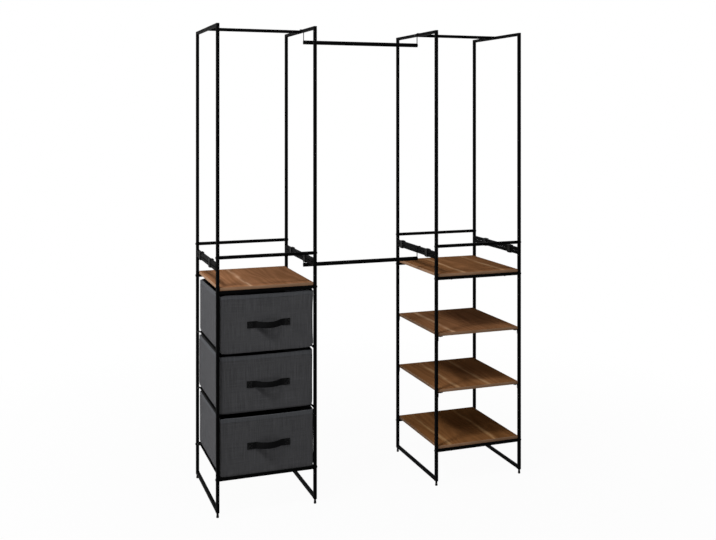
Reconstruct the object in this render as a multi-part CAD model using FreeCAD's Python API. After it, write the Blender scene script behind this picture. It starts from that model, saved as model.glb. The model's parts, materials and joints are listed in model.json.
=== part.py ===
import FreeCAD, Part
import math
import os

# Open frame wardrobe: two tube towers, one with fabric drawers and one with shelves, tied by two hanging rods.
# Millimetres. +X is to the right, +Y to the back and +Z up. The origin is on the floor, under the middle.

Vector = FreeCAD.Vector
X_AXIS = Vector(1, 0, 0)
Y_AXIS = Vector(0, 1, 0)
Z_AXIS = Vector(0, 0, 1)

# Square steel tube of all frames and crossbars
tube = 12.0
tube_wall = 1.0
tube_corner = 1.5
tube_inner_corner = 0.5

# Spacing of the posts, centre to centre
tower_pitch = 371.0
bay_pitch = 502.0
depth_pitch = 400.0

# Levelling feet, screwed into inserts in the ends of the posts
foot_height = 18.0
pad_radius = 5.0
pad_height = 7.0
pad_bevel = 1.0
neck_radius = 4.3
stud_radius = 2.9
stud_length = 24.0
insert_length = 30.0

# Crossbars at the bottom of each tower, from the lower end of the posts
bottom_bar_rise = 114.0

# Fabric bins of the drawers
bin_height = 213.0
bin_depth = 380.0
bin_recess = 7.0
bin_side_gap = 1.5
bin_head_gap = 3.2
bin_wall = 3.0
bin_floor = 3.0
bin_corner = 10.0
bin_front_drop = 6.0
base_board_thick = 3.0
base_board_gap = 1.0

# Webbing handles on the bins
handle_length = 164.0
handle_end_length = 22.0
handle_end_width = 22.0
handle_middle_width = 16.0
handle_sag = 5.0
handle_bow = 5.3
handle_rise = 100.0
handle_shift = 6.0
strap_thick = 1.6

# Angle runners that carry the bins
runner_thick = 1.5
runner_flange = 9.0
runner_ledge = 18.0
runner_tab = 9.0
flange_relief = 50.0

# Wood shelf boards and the brackets of the middle ones
board_thick = 12.0
board_gap = 1.0
board_setback = 4.0
board_corner = 2.0
shelf_pitch = 222.5
bracket_thick = 1.6
bracket_width = 10.0
bracket_drop = 18.0
bracket_reach = 20.0
bracket_hold = 12.0

# Joint where an upper frame stands on a lower one
shelf_to_joint = 73.5
rail_inset = 1.4
connector_reach = 30.0
connector_gap = 0.2
clip_wall = 3.0
clip_length = 22.0
clip_places = {
    "left_tower": {"left": (-80.0, 112.0), "right": (-80.0, 112.0)},
    "right_tower": {"left": (-116.0, 145.0), "right": (-125.0, 92.0)},
}
clip_slit = 2.0

# Upper frames
upper_post_length = 891.0

# Hanging rods across the bay and their hooked end straps
rod_radius = 8.0
rod_wall = 1.0
rod_offset = -26.0
hook_drop = 49.0
hook_thick = 1.5
hook_width = 6.0
hook_lip = 14.0
hook_gap = 0.5
hook_bend = 1.0

# Bolts through the posts into the ends of the crossbars
bolt_radius = 2.9
bolt_head_radius = 5.0
bolt_crown_radius = 3.0
bolt_head_height = 2.6
bolt_rim_height = 1.0
bolt_grip = 18.0
bolt_socket = 1.7
bolt_socket_depth = 1.4
plug_length = 22.0

# Small screws
screw_radius = 1.9
screw_head_radius = 3.4
screw_crown_radius = 2.4
screw_head_height = 1.8
screw_rim_height = 0.6
frame_screw_grip = 4.0
board_screw_grip = 7.0
board_screw_inset = 60.0

# Clearances
fit_gap = 0.1
seat_gap = 0.3

# Places worked out from the sizes
inner = tube - 2 * tube_wall
half_tube = tube / 2
post_y = depth_pitch / 2
tower_shift = (bay_pitch + tower_pitch) / 2
tower_centre = {"left_tower": -tower_shift, "right_tower": tower_shift}
clear_width = tower_pitch - tube
post_base = foot_height
bottom_bar_z = post_base + bottom_bar_rise
first_ledge = bottom_bar_z + tube
drawer_pitch = seat_gap + bin_height + bin_head_gap + runner_flange
drawer_names = ["bottom_drawer", "middle_drawer", "top_drawer"]
ledge_z = {name: first_ledge + index * drawer_pitch for index, name in enumerate(drawer_names)}
shelf_bar_z = ledge_z["top_drawer"] + seat_gap + bin_height + bin_head_gap
top_board_z = shelf_bar_z + tube
joint_z = top_board_z + board_thick + shelf_to_joint
upper_bar_z = joint_z + connector_reach
top_z = joint_z + upper_post_length
bracket_board_z = {
    "right_tower_shelf_3": first_ledge + shelf_pitch,
    "right_tower_shelf_2": first_ledge + 2 * shelf_pitch,
}
bar_board_z = {
    "left_tower_shelf": top_board_z,
    "right_tower_shelf_1": top_board_z,
    "right_tower_shelf_4": first_ledge,
}
bar_levels = {"bottom": bottom_bar_z, "shelf": shelf_bar_z, "upper": upper_bar_z}
sides = {"front": -1, "rear": 1}
hands = {"left": -1, "right": 1}


# Shapes that several pieces use
def block(x_span, y_span, z_span):
    corner = Vector(min(x_span), min(y_span), min(z_span))
    sizes = [abs(span[1] - span[0]) for span in (x_span, y_span, z_span)]
    return Part.makeBox(sizes[0], sizes[1], sizes[2], corner)


def around(middle, width):
    return (middle - width / 2, middle + width / 2)


def pin(radius, start, direction, length):
    return Part.makeCylinder(radius, length, start, direction)


def rounded_wire(corners, radius):
    """Closed wire through the corners of a convex outline, each rounded to the same radius."""
    arcs = []
    for index, corner in enumerate(corners):
        back = (corners[index - 1] - corner).normalize()
        ahead = (corners[(index + 1) % len(corners)] - corner).normalize()
        half_angle = back.getAngle(ahead) / 2
        reach = radius / math.tan(half_angle)
        middle = (back + ahead).normalize()
        nearest = corner + middle * (radius / math.sin(half_angle) - radius)
        arcs.append((corner + back * reach, nearest, corner + ahead * reach))
    edges = []
    for index, (start, through, end) in enumerate(arcs):
        edges.append(Part.Arc(start, through, end).toShape())
        following = arcs[(index + 1) % len(arcs)][0]
        edges.append(Part.LineSegment(end, following).toShape())
    return Part.Wire(edges)


def rounded_plate(x_span, y_span, z_span, radius):
    """Upright block whose four upright edges are rounded."""
    corners = [
        Vector(x_span[0], y_span[0], z_span[0]),
        Vector(x_span[1], y_span[0], z_span[0]),
        Vector(x_span[1], y_span[1], z_span[0]),
        Vector(x_span[0], y_span[1], z_span[0]),
    ]
    face = Part.Face(rounded_wire(corners, radius))
    return face.extrude(Z_AXIS * (z_span[1] - z_span[0]))


def outline_along_y(points, y_span):
    """Straight-sided outline in the XZ plane, carried along Y."""
    corners = [Vector(x, y_span[0], z) for x, z in points]
    face = Part.Face(Part.makePolygon(corners + corners[:1]))
    return face.extrude(Y_AXIS * (y_span[1] - y_span[0]))


def square_bar(start, direction, length, width, corner):
    """Bar of square section with rounded edges, from a point along an axis."""
    if direction == Z_AXIS:
        first, second = X_AXIS, Y_AXIS
    elif direction == X_AXIS:
        first, second = Y_AXIS, Z_AXIS
    else:
        first, second = Z_AXIS, X_AXIS
    half = width / 2
    corners = [
        start - first * half - second * half,
        start + first * half - second * half,
        start + first * half + second * half,
        start - first * half + second * half,
    ]
    return Part.Face(rounded_wire(corners, corner)).extrude(direction * length)


def square_tube(start, direction, length):
    outside = square_bar(start, direction, length, tube, tube_corner)
    inside = square_bar(start, direction, length, inner, tube_inner_corner)
    return outside.cut(inside)


def cut_beyond(shape, point, outward):
    """Cuts off what lies beyond a plane, as a saw cuts a mitre."""
    size = 4 * tube
    waste = Part.makeBox(size, size, size, Vector(-size / 2, -size / 2, 0))
    waste.Placement = FreeCAD.Placement(point, FreeCAD.Rotation(Z_AXIS, outward))
    return shape.cut(waste)


def turned(profile):
    """Solid turned about the Z axis from (radius, height) points, starting and ending on the axis."""
    points = [Vector(radius, 0, height) for radius, height in profile]
    face = Part.Face(Part.makePolygon(points + points[:1]))
    return face.revolve(Vector(0, 0, 0), Z_AXIS, 360)


def set_at(shape, point, direction):
    """Copy of a shape made along +Z at the origin, set at a point along another direction."""
    copy = shape.copy()
    copy.Placement = FreeCAD.Placement(point, FreeCAD.Rotation(Z_AXIS, direction))
    return copy


def save(name, *solids):
    shape = solids[0] if len(solids) == 1 else Part.makeCompound(list(solids))
    shape.exportStep("parts/" + name + ".step")
    print(name, len(shape.Solids), "solids,", round(shape.Volume / 1000, 2), "cm3, valid", shape.isValid())


# Places of frames and posts
def frame_x(tower, hand):
    return tower_centre[tower] + hands[hand] * tower_pitch / 2


def inner_face(tower, hand):
    """The X of a side frame's face that looks into its tower."""
    return frame_x(tower, hand) - hands[hand] * half_tube


def rod_levels():
    """Top faces of the rails that the two hanging rods hook over."""
    return {"upper_hanging_rod": top_z, "lower_hanging_rod": joint_z + rail_inset + tube}


# Fasteners, made once along +Z with the seat of the head at the origin and the head below it
def make_bolt():
    length = tube + bolt_grip
    body = turned([
        (0, -bolt_head_height),
        (bolt_crown_radius, -bolt_head_height),
        (bolt_head_radius, -bolt_rim_height),
        (bolt_head_radius, 0),
        (bolt_radius, 0),
        (bolt_radius, length),
        (0, length),
    ])
    socket_base = Vector(0, 0, -bolt_head_height)
    corners = [socket_base + Vector(bolt_socket, 0, 0)]
    for turn in range(1, 6):
        angle = math.radians(60 * turn)
        corners.append(socket_base + Vector(math.cos(angle), math.sin(angle), 0) * bolt_socket)
    socket = Part.Face(Part.makePolygon(corners + corners[:1])).extrude(Z_AXIS * bolt_socket_depth)
    return body.cut(socket)


def make_screw(length):
    return turned([
        (0, -screw_head_height),
        (screw_crown_radius, -screw_head_height),
        (screw_head_radius, -screw_rim_height),
        (screw_head_radius, 0),
        (screw_radius, 0),
        (screw_radius, length),
        (0, length),
    ])


bolt = make_bolt()
frame_screw = make_screw(frame_screw_grip)
bar_screw = make_screw(tube + board_screw_grip)
bracket_screw = make_screw(bracket_thick + board_screw_grip)


# Side frames
def bolt_holes(x, y, levels):
    start_x = x - tube
    return [pin(bolt_radius + fit_gap, Vector(start_x, y, z + half_tube), X_AXIS, 2 * tube) for z in levels]


def runner_screw_spot(hand, side, ledge):
    """Where a runner's end tab is screwed to a post: the point on the post's face, and the way into it."""
    x = inner_face("left_tower", hand) + hands[hand] * (runner_thick + runner_tab) / 2
    y = sides[side] * (post_y - half_tube)
    return Vector(x, y, ledge - runner_flange / 2), Y_AXIS * sides[side]


def bracket_screw_spot(hand, side, board_z):
    """Where a shelf bracket is screwed to a post: the point on the post's face, and the way into it."""
    x = inner_face("right_tower", hand)
    return Vector(x, sides[side] * post_y, board_z - bracket_drop / 2), X_AXIS * hands[hand]


def post_screw_holes(tower, hand, side):
    if tower == "left_tower":
        spots = [runner_screw_spot(hand, side, ledge) for ledge in ledge_z.values()]
    else:
        spots = [bracket_screw_spot(hand, side, board_z) for board_z in bracket_board_z.values()]
    holes = []
    for point, inward in spots:
        holes.append(pin(screw_radius + fit_gap, point - inward * tube_wall, inward, 3 * tube_wall))
    return holes


def side_rail(x, z_bottom):
    start = Vector(x, -post_y + half_tube, z_bottom + half_tube)
    return square_tube(start, Y_AXIS, depth_pitch - tube)


def lower_frame(tower, hand):
    x = frame_x(tower, hand)
    solids = []
    for side, sign in sides.items():
        y = sign * post_y
        post = square_tube(Vector(x, y, post_base), Z_AXIS, joint_z - post_base)
        holes = bolt_holes(x, y, [bottom_bar_z, shelf_bar_z]) + post_screw_holes(tower, hand, side)
        for hole in holes:
            post = post.cut(hole)
        solids.append(post)
    solids.append(side_rail(x, post_base))
    solids.append(side_rail(x, joint_z - rail_inset - tube))
    return solids


def upper_frame(tower, hand):
    """Posts and top rail meet in mitred corners, and the bottom rail stands between the posts."""
    x = frame_x(tower, hand)
    rail_start = Vector(x, -post_y - half_tube, top_z - half_tube)
    top_rail = square_tube(rail_start, Y_AXIS, depth_pitch + tube)
    rod_hole_start = Vector(x - tube, 0, top_z - half_tube)
    top_rail = top_rail.cut(pin(bolt_radius + fit_gap, rod_hole_start, X_AXIS, 2 * tube))
    solids = []
    for sign in sides.values():
        y = sign * post_y
        corner = Vector(x, y, top_z - half_tube)
        towards_post = Vector(0, sign, -1)
        post = square_tube(Vector(x, y, joint_z), Z_AXIS, upper_post_length)
        post = cut_beyond(post, corner, towards_post * -1)
        for hole in bolt_holes(x, y, [upper_bar_z]):
            post = post.cut(hole)
        top_rail = cut_beyond(top_rail, corner, towards_post)
        solids.append(post)
    solids.append(top_rail)
    solids.append(side_rail(x, joint_z + rail_inset))
    return solids


def save_side_frames():
    for tower in tower_centre:
        for hand in hands:
            save(tower + "_" + hand + "_lower_frame", *lower_frame(tower, hand))
            save(tower + "_" + hand + "_upper_frame", *upper_frame(tower, hand))


# Crossbars and tower top rods, with the plugs in their ends and the bolts through the frames
def board_screw_offsets():
    reach = clear_width / 2 - board_screw_inset
    return (-reach, reach)


def cross_bar(tower, y, z_bottom, carries_board):
    start = Vector(inner_face(tower, "left"), y, z_bottom + half_tube)
    bar = square_tube(start, X_AXIS, clear_width)
    if carries_board:
        for offset in board_screw_offsets():
            low = Vector(tower_centre[tower] + offset, y, z_bottom - tube)
            bar = bar.cut(pin(screw_radius + fit_gap, low, Z_AXIS, 3 * tube))
    return bar


def bar_ends(tower, y, z_bottom):
    """The two end plugs of a bar, and the two bolts that hold it."""
    plugs = []
    bolts = []
    z = z_bottom + half_tube
    for hand, sign in hands.items():
        inward = X_AXIS * -sign
        face = Vector(inner_face(tower, hand), y, z)
        far = face + inward * plug_length
        body = square_bar(Vector(min(face.x, far.x), y, z), X_AXIS, plug_length, inner, tube_inner_corner)
        plugs.append(body.cut(pin(bolt_radius + fit_gap, face, inward, plug_length)))
        head_seat = Vector(frame_x(tower, hand) + sign * half_tube, y, z)
        bolts.append(set_at(bolt, head_seat, inward))
    return plugs, bolts


def save_bars():
    plugs = []
    bolts = []
    for tower in tower_centre:
        board_levels = [z for name, z in bar_board_z.items() if name.startswith(tower)]
        for level, z_bottom in bar_levels.items():
            for side, sign in sides.items():
                y = sign * post_y
                carries_board = z_bottom + tube in board_levels
                save(tower + "_" + level + "_" + side + "_bar", cross_bar(tower, y, z_bottom, carries_board))
                bar_plugs, bar_bolts = bar_ends(tower, y, z_bottom)
                plugs += bar_plugs
                bolts += bar_bolts
        save(tower + "_top_rod", cross_bar(tower, 0, top_z - tube, False))
        rod_plugs, rod_bolts = bar_ends(tower, 0, top_z - tube)
        plugs += rod_plugs
        bolts += rod_bolts
    save("bar_end_plugs", *plugs)
    save("frame_bolts", *bolts)


# Shelf boards, their brackets and screws
def bracket_hold_offset():
    """Distance from the tower's middle to the screws that go up through the brackets."""
    return clear_width / 2 - bracket_hold


def shelf_board(tower, z_bottom, screw_offsets):
    x_span = around(tower_centre[tower], clear_width - 2 * board_gap)
    y_span = around(0, depth_pitch + tube - 2 * board_setback)
    board = rounded_plate(x_span, y_span, (z_bottom, z_bottom + board_thick), board_corner)
    for offset in screw_offsets:
        for sign in sides.values():
            low = Vector(tower_centre[tower] + offset, sign * post_y, z_bottom)
            board = board.cut(pin(screw_radius + fit_gap, low, Z_AXIS, board_screw_grip + fit_gap))
    return board


def shelf_bracket(hand, side, board_z):
    face = inner_face("right_tower", hand)
    inward = -hands[hand]
    points = [
        (face, board_z),
        (face + inward * bracket_reach, board_z),
        (face + inward * bracket_reach, board_z - bracket_thick),
        (face + inward * bracket_thick, board_z - bracket_thick),
        (face + inward * bracket_thick, board_z - bracket_drop),
        (face, board_z - bracket_drop),
    ]
    y = sides[side] * post_y
    bracket = outline_along_y(points, around(y, bracket_width))
    point, way = bracket_screw_spot(hand, side, board_z)
    bracket = bracket.cut(pin(screw_radius + fit_gap, point - way * tube, way, 2 * tube))
    hold_x = tower_centre["right_tower"] + hands[hand] * bracket_hold_offset()
    low = Vector(hold_x, y, board_z - tube)
    return bracket.cut(pin(screw_radius + fit_gap, low, Z_AXIS, 2 * tube))


def save_shelves():
    board_screws = []
    for name, z_bottom in bar_board_z.items():
        tower = "left_tower" if name.startswith("left") else "right_tower"
        save(name, shelf_board(tower, z_bottom, board_screw_offsets()))
        for offset in board_screw_offsets():
            for sign in sides.values():
                seat = Vector(tower_centre[tower] + offset, sign * post_y, z_bottom - tube)
                board_screws.append(set_at(bar_screw, seat, Z_AXIS))
    save("shelf_board_screws", *board_screws)

    brackets = []
    bracket_screws = []
    hold = bracket_hold_offset()
    for name, z_bottom in bracket_board_z.items():
        save(name, shelf_board("right_tower", z_bottom, (-hold, hold)))
        for hand in hands:
            for side in sides:
                brackets.append(shelf_bracket(hand, side, z_bottom))
                x = tower_centre["right_tower"] + hands[hand] * hold
                seat = Vector(x, sides[side] * post_y, z_bottom - bracket_thick)
                bracket_screws.append(set_at(bracket_screw, seat, Z_AXIS))
    save("shelf_brackets", *brackets)
    save("bracket_board_screws", *bracket_screws)


# Drawer runners: an angle between the posts, with a bent tab at each end. The lowest one's flange is turned in,
# and the others' flanges stop short of the rear posts.
def runner(hand, ledge, turned_in):
    face = inner_face("left_tower", hand)
    outward = hands[hand]
    back = face + outward * runner_thick
    lip = face - outward * runner_ledge
    y_span = (-post_y + half_tube, post_y - half_tube)
    z_low = ledge - runner_flange
    flange_edge = lip if turned_in else face
    flange_y = y_span if turned_in else (y_span[0], y_span[1] - flange_relief)
    shape = block((flange_edge, flange_edge + outward * runner_thick), flange_y, (z_low, ledge))
    shape = shape.fuse(block((back, lip), y_span, (ledge - runner_thick, ledge)))
    for sign in sides.values():
        end = sign * (post_y - half_tube)
        tab = block((face, face + outward * runner_tab), (end - sign * runner_thick, end), (z_low, ledge))
        shape = shape.fuse(tab)
    shape = shape.removeSplitter()
    for side in sides:
        point, way = runner_screw_spot(hand, side, ledge)
        shape = shape.cut(pin(screw_radius + fit_gap, point - way * tube, way, 2 * tube))
    return shape


def save_runners():
    screws = []
    for name, ledge in ledge_z.items():
        turned_in = ledge == first_ledge
        save(name + "_runners", *[runner(hand, ledge, turned_in) for hand in hands])
        for hand in hands:
            for side in sides:
                point, way = runner_screw_spot(hand, side, ledge)
                screws.append(set_at(frame_screw, point - way * runner_thick, way))
    for board_z in bracket_board_z.values():
        for hand in hands:
            for side in sides:
                point, way = bracket_screw_spot(hand, side, board_z)
                screws.append(set_at(frame_screw, point - way * bracket_thick, way))
    save("post_screws", *screws)


# Fabric drawers
bin_x = around(tower_centre["left_tower"], clear_width - 2 * bin_side_gap)
bin_front = -post_y - half_tube + bin_recess
bin_y = (bin_front, bin_front + bin_depth)


def inset(span, amount):
    return (span[0] + amount, span[1] - amount)


def fabric_bin(z_low):
    """Open bin with rounded upright corners, whose front is a little lower than its sides."""
    z_top = z_low + bin_height
    outside = rounded_plate(bin_x, bin_y, (z_low, z_top), bin_corner)
    hollow_z = (z_low + bin_floor, z_top)
    hollow = rounded_plate(inset(bin_x, bin_wall), inset(bin_y, bin_wall), hollow_z, bin_corner - bin_wall)
    dip = [
        (bin_x[0] + bin_corner, z_top),
        (bin_x[0] + 2 * bin_corner, z_top - bin_front_drop),
        (bin_x[1] - 2 * bin_corner, z_top - bin_front_drop),
        (bin_x[1] - bin_corner, z_top),
    ]
    dip_cut = outline_along_y(dip, (bin_front - bin_wall, bin_front + 2 * bin_wall))
    return outside.cut(hollow).cut(dip_cut)


def base_board(z_low):
    margin = bin_wall + base_board_gap
    z_span = (z_low + bin_floor, z_low + bin_floor + base_board_thick)
    return rounded_plate(inset(bin_x, margin), inset(bin_y, margin), z_span, bin_corner - margin)


def webbing_handle(z_low):
    """Strap sewn flat at both ends, bowed off the front between them, narrower and sagging in the middle."""
    middle_x = tower_centre["left_tower"] + handle_shift
    z = z_low + handle_rise
    end = handle_length / 2
    bend = end - handle_end_length
    low_z = z - handle_end_width
    stand_off = handle_bow + strap_thick

    def plan_point(x, off_front):
        return Vector(middle_x + x, bin_front - off_front, low_z)

    def front_point(x, height):
        return Vector(middle_x + x, bin_front - 2 * stand_off, z + height)

    plan = [
        Part.makeLine(plan_point(-end, 0), plan_point(-bend, 0)),
        Part.Arc(plan_point(-bend, 0), plan_point(0, handle_bow), plan_point(bend, 0)).toShape(),
        Part.makeLine(plan_point(bend, 0), plan_point(end, 0)),
        Part.makeLine(plan_point(end, 0), plan_point(end, strap_thick)),
        Part.makeLine(plan_point(end, strap_thick), plan_point(bend, strap_thick)),
        Part.Arc(
            plan_point(bend, strap_thick),
            plan_point(0, handle_bow + strap_thick),
            plan_point(-bend, strap_thick),
        ).toShape(),
        Part.makeLine(plan_point(-bend, strap_thick), plan_point(-end, strap_thick)),
        Part.makeLine(plan_point(-end, strap_thick), plan_point(-end, 0)),
    ]
    bowed = Part.Face(Part.Wire(plan)).extrude(Z_AXIS * 2 * handle_end_width)

    half_end = handle_end_width / 2
    half_middle = handle_middle_width / 2
    front = [
        Part.makeLine(front_point(-end, half_end), front_point(-bend, half_end)),
        Part.Arc(
            front_point(-bend, half_end),
            front_point(0, half_middle - handle_sag),
            front_point(bend, half_end),
        ).toShape(),
        Part.makeLine(front_point(bend, half_end), front_point(end, half_end)),
        Part.makeLine(front_point(end, half_end), front_point(end, -half_end)),
        Part.makeLine(front_point(end, -half_end), front_point(bend, -half_end)),
        Part.Arc(
            front_point(bend, -half_end),
            front_point(0, -half_middle - handle_sag),
            front_point(-bend, -half_end),
        ).toShape(),
        Part.makeLine(front_point(-bend, -half_end), front_point(-end, -half_end)),
        Part.makeLine(front_point(-end, -half_end), front_point(-end, half_end)),
    ]
    outline = Part.Face(Part.Wire(front)).extrude(Y_AXIS * 4 * stand_off)
    return bowed.common(outline)


def save_drawers():
    for name, ledge in ledge_z.items():
        z_low = ledge + seat_gap
        save(name + "_bin", fabric_bin(z_low))
        save(name + "_base_board", base_board(z_low))
        save(name + "_handle", webbing_handle(z_low))


# Feet, their inserts, and what joins the stacked frames
def post_spots():
    """Name and centre of each of the eight posts."""
    spots = {}
    for tower in tower_centre:
        for side, sign in sides.items():
            for hand in hands:
                spots[tower + "_" + side + "_" + hand] = Vector(frame_x(tower, hand), sign * post_y, 0)
    return spots


def save_feet():
    neck_top = post_base - seat_gap
    foot = turned([
        (0, 0),
        (pad_radius - pad_bevel, 0),
        (pad_radius, pad_bevel),
        (pad_radius, pad_height - pad_bevel),
        (neck_radius, pad_height),
        (neck_radius, neck_top),
        (stud_radius, neck_top),
        (stud_radius, neck_top + stud_length),
        (0, neck_top + stud_length),
    ])
    inserts = []
    for name, spot in post_spots().items():
        save(name + "_foot", set_at(foot, spot, Z_AXIS))
        base = spot + Z_AXIS * post_base
        body = square_bar(base, Z_AXIS, insert_length, inner, tube_inner_corner)
        inserts.append(body.cut(pin(stud_radius + fit_gap, base, Z_AXIS, insert_length)))
    save("foot_inserts", *inserts)


def save_joint_pieces():
    connectors = []
    width = inner - 2 * connector_gap
    for spot in post_spots().values():
        low = spot + Z_AXIS * (joint_z - connector_reach)
        connectors.append(square_bar(low, Z_AXIS, 2 * connector_reach, width, tube_inner_corner))
    save("post_connectors", *connectors)

    clips = []
    rails_z = (joint_z - rail_inset - tube, joint_z + rail_inset + tube)
    for tower in tower_centre:
        for hand in hands:
            for y in clip_places[tower][hand]:
                clips.append(stacking_clip(frame_x(tower, hand), y, rails_z))
    save("stacking_clips", *clips)


def stacking_clip(x, y, rails_z):
    """Sleeve round the two rails, split underneath so that it snaps on."""
    y_span = around(y, clip_length)
    rails_x = around(x, tube)
    outer_x = inset(rails_x, -clip_wall)
    outer_z = inset(rails_z, -clip_wall)
    corners = [
        Vector(outer_x[0], y_span[0], outer_z[0]),
        Vector(outer_x[1], y_span[0], outer_z[0]),
        Vector(outer_x[1], y_span[0], outer_z[1]),
        Vector(outer_x[0], y_span[0], outer_z[1]),
    ]
    sleeve = Part.Face(rounded_wire(corners, clip_wall)).extrude(Y_AXIS * clip_length)
    sleeve = sleeve.cut(block(rails_x, y_span, rails_z))
    return sleeve.cut(block(around(x, clip_slit), y_span, (outer_z[0], rails_z[0])))


# Hanging rods with their hooked straps
def hook_strap(hand, rail_top, rod_z):
    """Flat strap from a round foot on the rod's end, up a rail's bay side, over it and down its far side."""
    toward_bay = -hands[hand]
    rail_x = hands[hand] * bay_pitch / 2
    bay_side = rail_x + toward_bay * (half_tube + hook_gap)
    far_side = rail_x - toward_bay * (half_tube + hook_gap)
    bearing = rail_top + seat_gap
    bay_skin = bay_side + toward_bay * hook_thick
    far_skin = far_side - toward_bay * hook_thick
    crown = bearing + hook_thick
    points = [
        (bay_side, rod_z),
        (bay_side, bearing),
        (far_side, bearing),
        (far_side, rail_top - hook_lip),
        (far_skin, rail_top - hook_lip),
        (far_skin, crown - hook_bend),
        (far_skin + toward_bay * hook_bend, crown),
        (bay_skin - toward_bay * hook_bend, crown),
        (bay_skin, crown - hook_bend),
        (bay_skin, rod_z),
    ]
    strap = outline_along_y(points, around(rod_offset, hook_width))
    foot = pin(rod_radius, Vector(bay_side, rod_offset, rod_z), X_AXIS * toward_bay, hook_thick)
    return strap.fuse(foot).removeSplitter()


def save_hanging_rods():
    length = bay_pitch - tube - 2 * (hook_gap + hook_thick)
    for name, rail_top in rod_levels().items():
        rod_z = rail_top - hook_drop
        start = Vector(-length / 2, rod_offset, rod_z)
        rod = pin(rod_radius, start, X_AXIS, length).cut(pin(rod_radius - rod_wall, start, X_AXIS, length))
        save(name, rod, *[hook_strap(hand, rail_top, rod_z) for hand in hands])


os.makedirs("parts", exist_ok=True)
save_side_frames()
save_bars()
save_shelves()
save_runners()
save_drawers()
save_feet()
save_joint_pieces()
save_hanging_rods()
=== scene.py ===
# %% [markdown]
# # Dressing an open frame wardrobe
# Two slim steel towers stand side by side, one with fabric drawers and one with wood shelves, and two
# rods join them. The solids come in at their real size as a fixed frame, so this lesson never moves them.
# It gives the steel, wood and plastic their finishes, and models anew what a solid can't show: soft
# drawers, webbing handles, edge banded boards, dome headed bolts, moulded clips, threaded feet and weld
# beads.

# %% Load the fixed frame
import bmesh
import bpy
import json
import math
from mathutils import Matrix, Vector, noise
from mathutils.bvhtree import BVHTree


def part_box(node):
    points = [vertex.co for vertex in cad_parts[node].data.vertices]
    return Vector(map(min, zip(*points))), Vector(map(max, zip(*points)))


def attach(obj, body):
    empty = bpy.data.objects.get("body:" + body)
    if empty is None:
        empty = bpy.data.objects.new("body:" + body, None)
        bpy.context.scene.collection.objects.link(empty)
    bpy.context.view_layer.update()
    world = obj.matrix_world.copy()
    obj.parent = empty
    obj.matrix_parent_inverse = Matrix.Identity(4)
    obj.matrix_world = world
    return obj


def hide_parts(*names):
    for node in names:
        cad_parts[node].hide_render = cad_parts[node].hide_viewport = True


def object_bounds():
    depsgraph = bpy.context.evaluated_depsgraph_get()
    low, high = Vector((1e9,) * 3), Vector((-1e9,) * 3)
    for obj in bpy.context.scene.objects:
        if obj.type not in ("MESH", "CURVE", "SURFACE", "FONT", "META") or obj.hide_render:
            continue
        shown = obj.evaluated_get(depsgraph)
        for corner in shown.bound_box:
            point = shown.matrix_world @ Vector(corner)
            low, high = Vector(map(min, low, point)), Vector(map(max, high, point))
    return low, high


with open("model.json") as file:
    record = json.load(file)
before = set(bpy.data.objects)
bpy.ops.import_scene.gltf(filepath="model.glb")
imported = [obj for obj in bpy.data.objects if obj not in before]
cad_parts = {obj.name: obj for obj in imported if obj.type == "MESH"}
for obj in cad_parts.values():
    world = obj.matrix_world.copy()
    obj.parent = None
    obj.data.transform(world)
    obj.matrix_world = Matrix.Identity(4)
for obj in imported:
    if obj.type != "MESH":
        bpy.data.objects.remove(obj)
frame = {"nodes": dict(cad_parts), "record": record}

cad_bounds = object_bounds()
nodes = frame["nodes"]
slot_of_node = {piece["node"]: piece["material_slot"] for piece in frame["record"]["subparts"]}
scene = bpy.context.scene
MM = 0.001

# %% [markdown]
# A photograph of tall furniture is usually taken with the camera level, so that the posts stay upright,
# and the lens is shifted down to take in the feet. Tilting the camera would also take them in, but the
# posts would lean. The camera is turned a little to the right, which shows the left sides of both towers.

# %% Camera
camera_data = bpy.data.cameras.new("camera")
camera_data.sensor_width = 36.0
camera_data.lens = 47.66
camera_data.shift_x = -0.0006
camera_data.shift_y = -0.2186
camera = bpy.data.objects.new("camera", camera_data)
camera.location = (-1.32099, -3.61522, 1.47046)
camera.rotation_euler = (math.radians(90), 0, math.radians(-20.017))
scene.collection.objects.link(camera)
scene.camera = camera
scene.view_settings.view_transform = "Standard"
print("camera lens:", camera_data.lens, "mm")

# %% [markdown]
# Shader nodes are easier to read when one helper makes a node, sets its values and joins its inputs. A
# value that is another node's socket becomes a link, and anything else becomes the input's own number or
# colour.


# %% Helpers for shader nodes
def join(tree, sockets, inputs):
    for name, value in inputs.items():
        if isinstance(value, bpy.types.NodeSocket):
            tree.links.new(value, sockets[name])
        else:
            sockets[name].default_value = value


def put(tree, kind, inputs=None, **settings):
    node = tree.nodes.new(kind)
    for name, value in settings.items():
        setattr(node, name, value)
    join(tree, node.inputs, inputs or {})
    return node


def calc(tree, operation, first, second=0.0, third=0.0):
    return put(tree, "ShaderNodeMath", {0: first, 1: second, 2: third}, operation=operation).outputs[0]


def span(tree, value, low, high, to_low, to_high):
    """Carries a value from one range to another, and stops at the ends."""
    inputs = {"Value": value, "From Min": low, "From Max": high, "To Min": to_low, "To Max": to_high}
    return put(tree, "ShaderNodeMapRange", inputs).outputs[0]


def tint(tree, factor, first, second, mode="MIX"):
    """Mixes two colours. Sockets go by number, because number and colour inputs share their names."""
    node = put(tree, "ShaderNodeMix", {0: factor, 6: first, 7: second}, data_type="RGBA", blend_type=mode)
    return node.outputs[2]


print("node helpers ready")

# %% [markdown]
# A pattern needs a place on the surface. Solid pieces use the object's own coordinates, and cloth and
# boards use their UV map. Both are in metres, so the scale of a noise counts its grains per metre. A place
# that is stretched before it reaches the noise draws grain or thread along one direction.


# %% Helpers for patterns
def stretch(tree, place, scale):
    return put(tree, "ShaderNodeVectorMath", {0: place, 1: scale}, operation="MULTIPLY").outputs[0]


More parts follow.
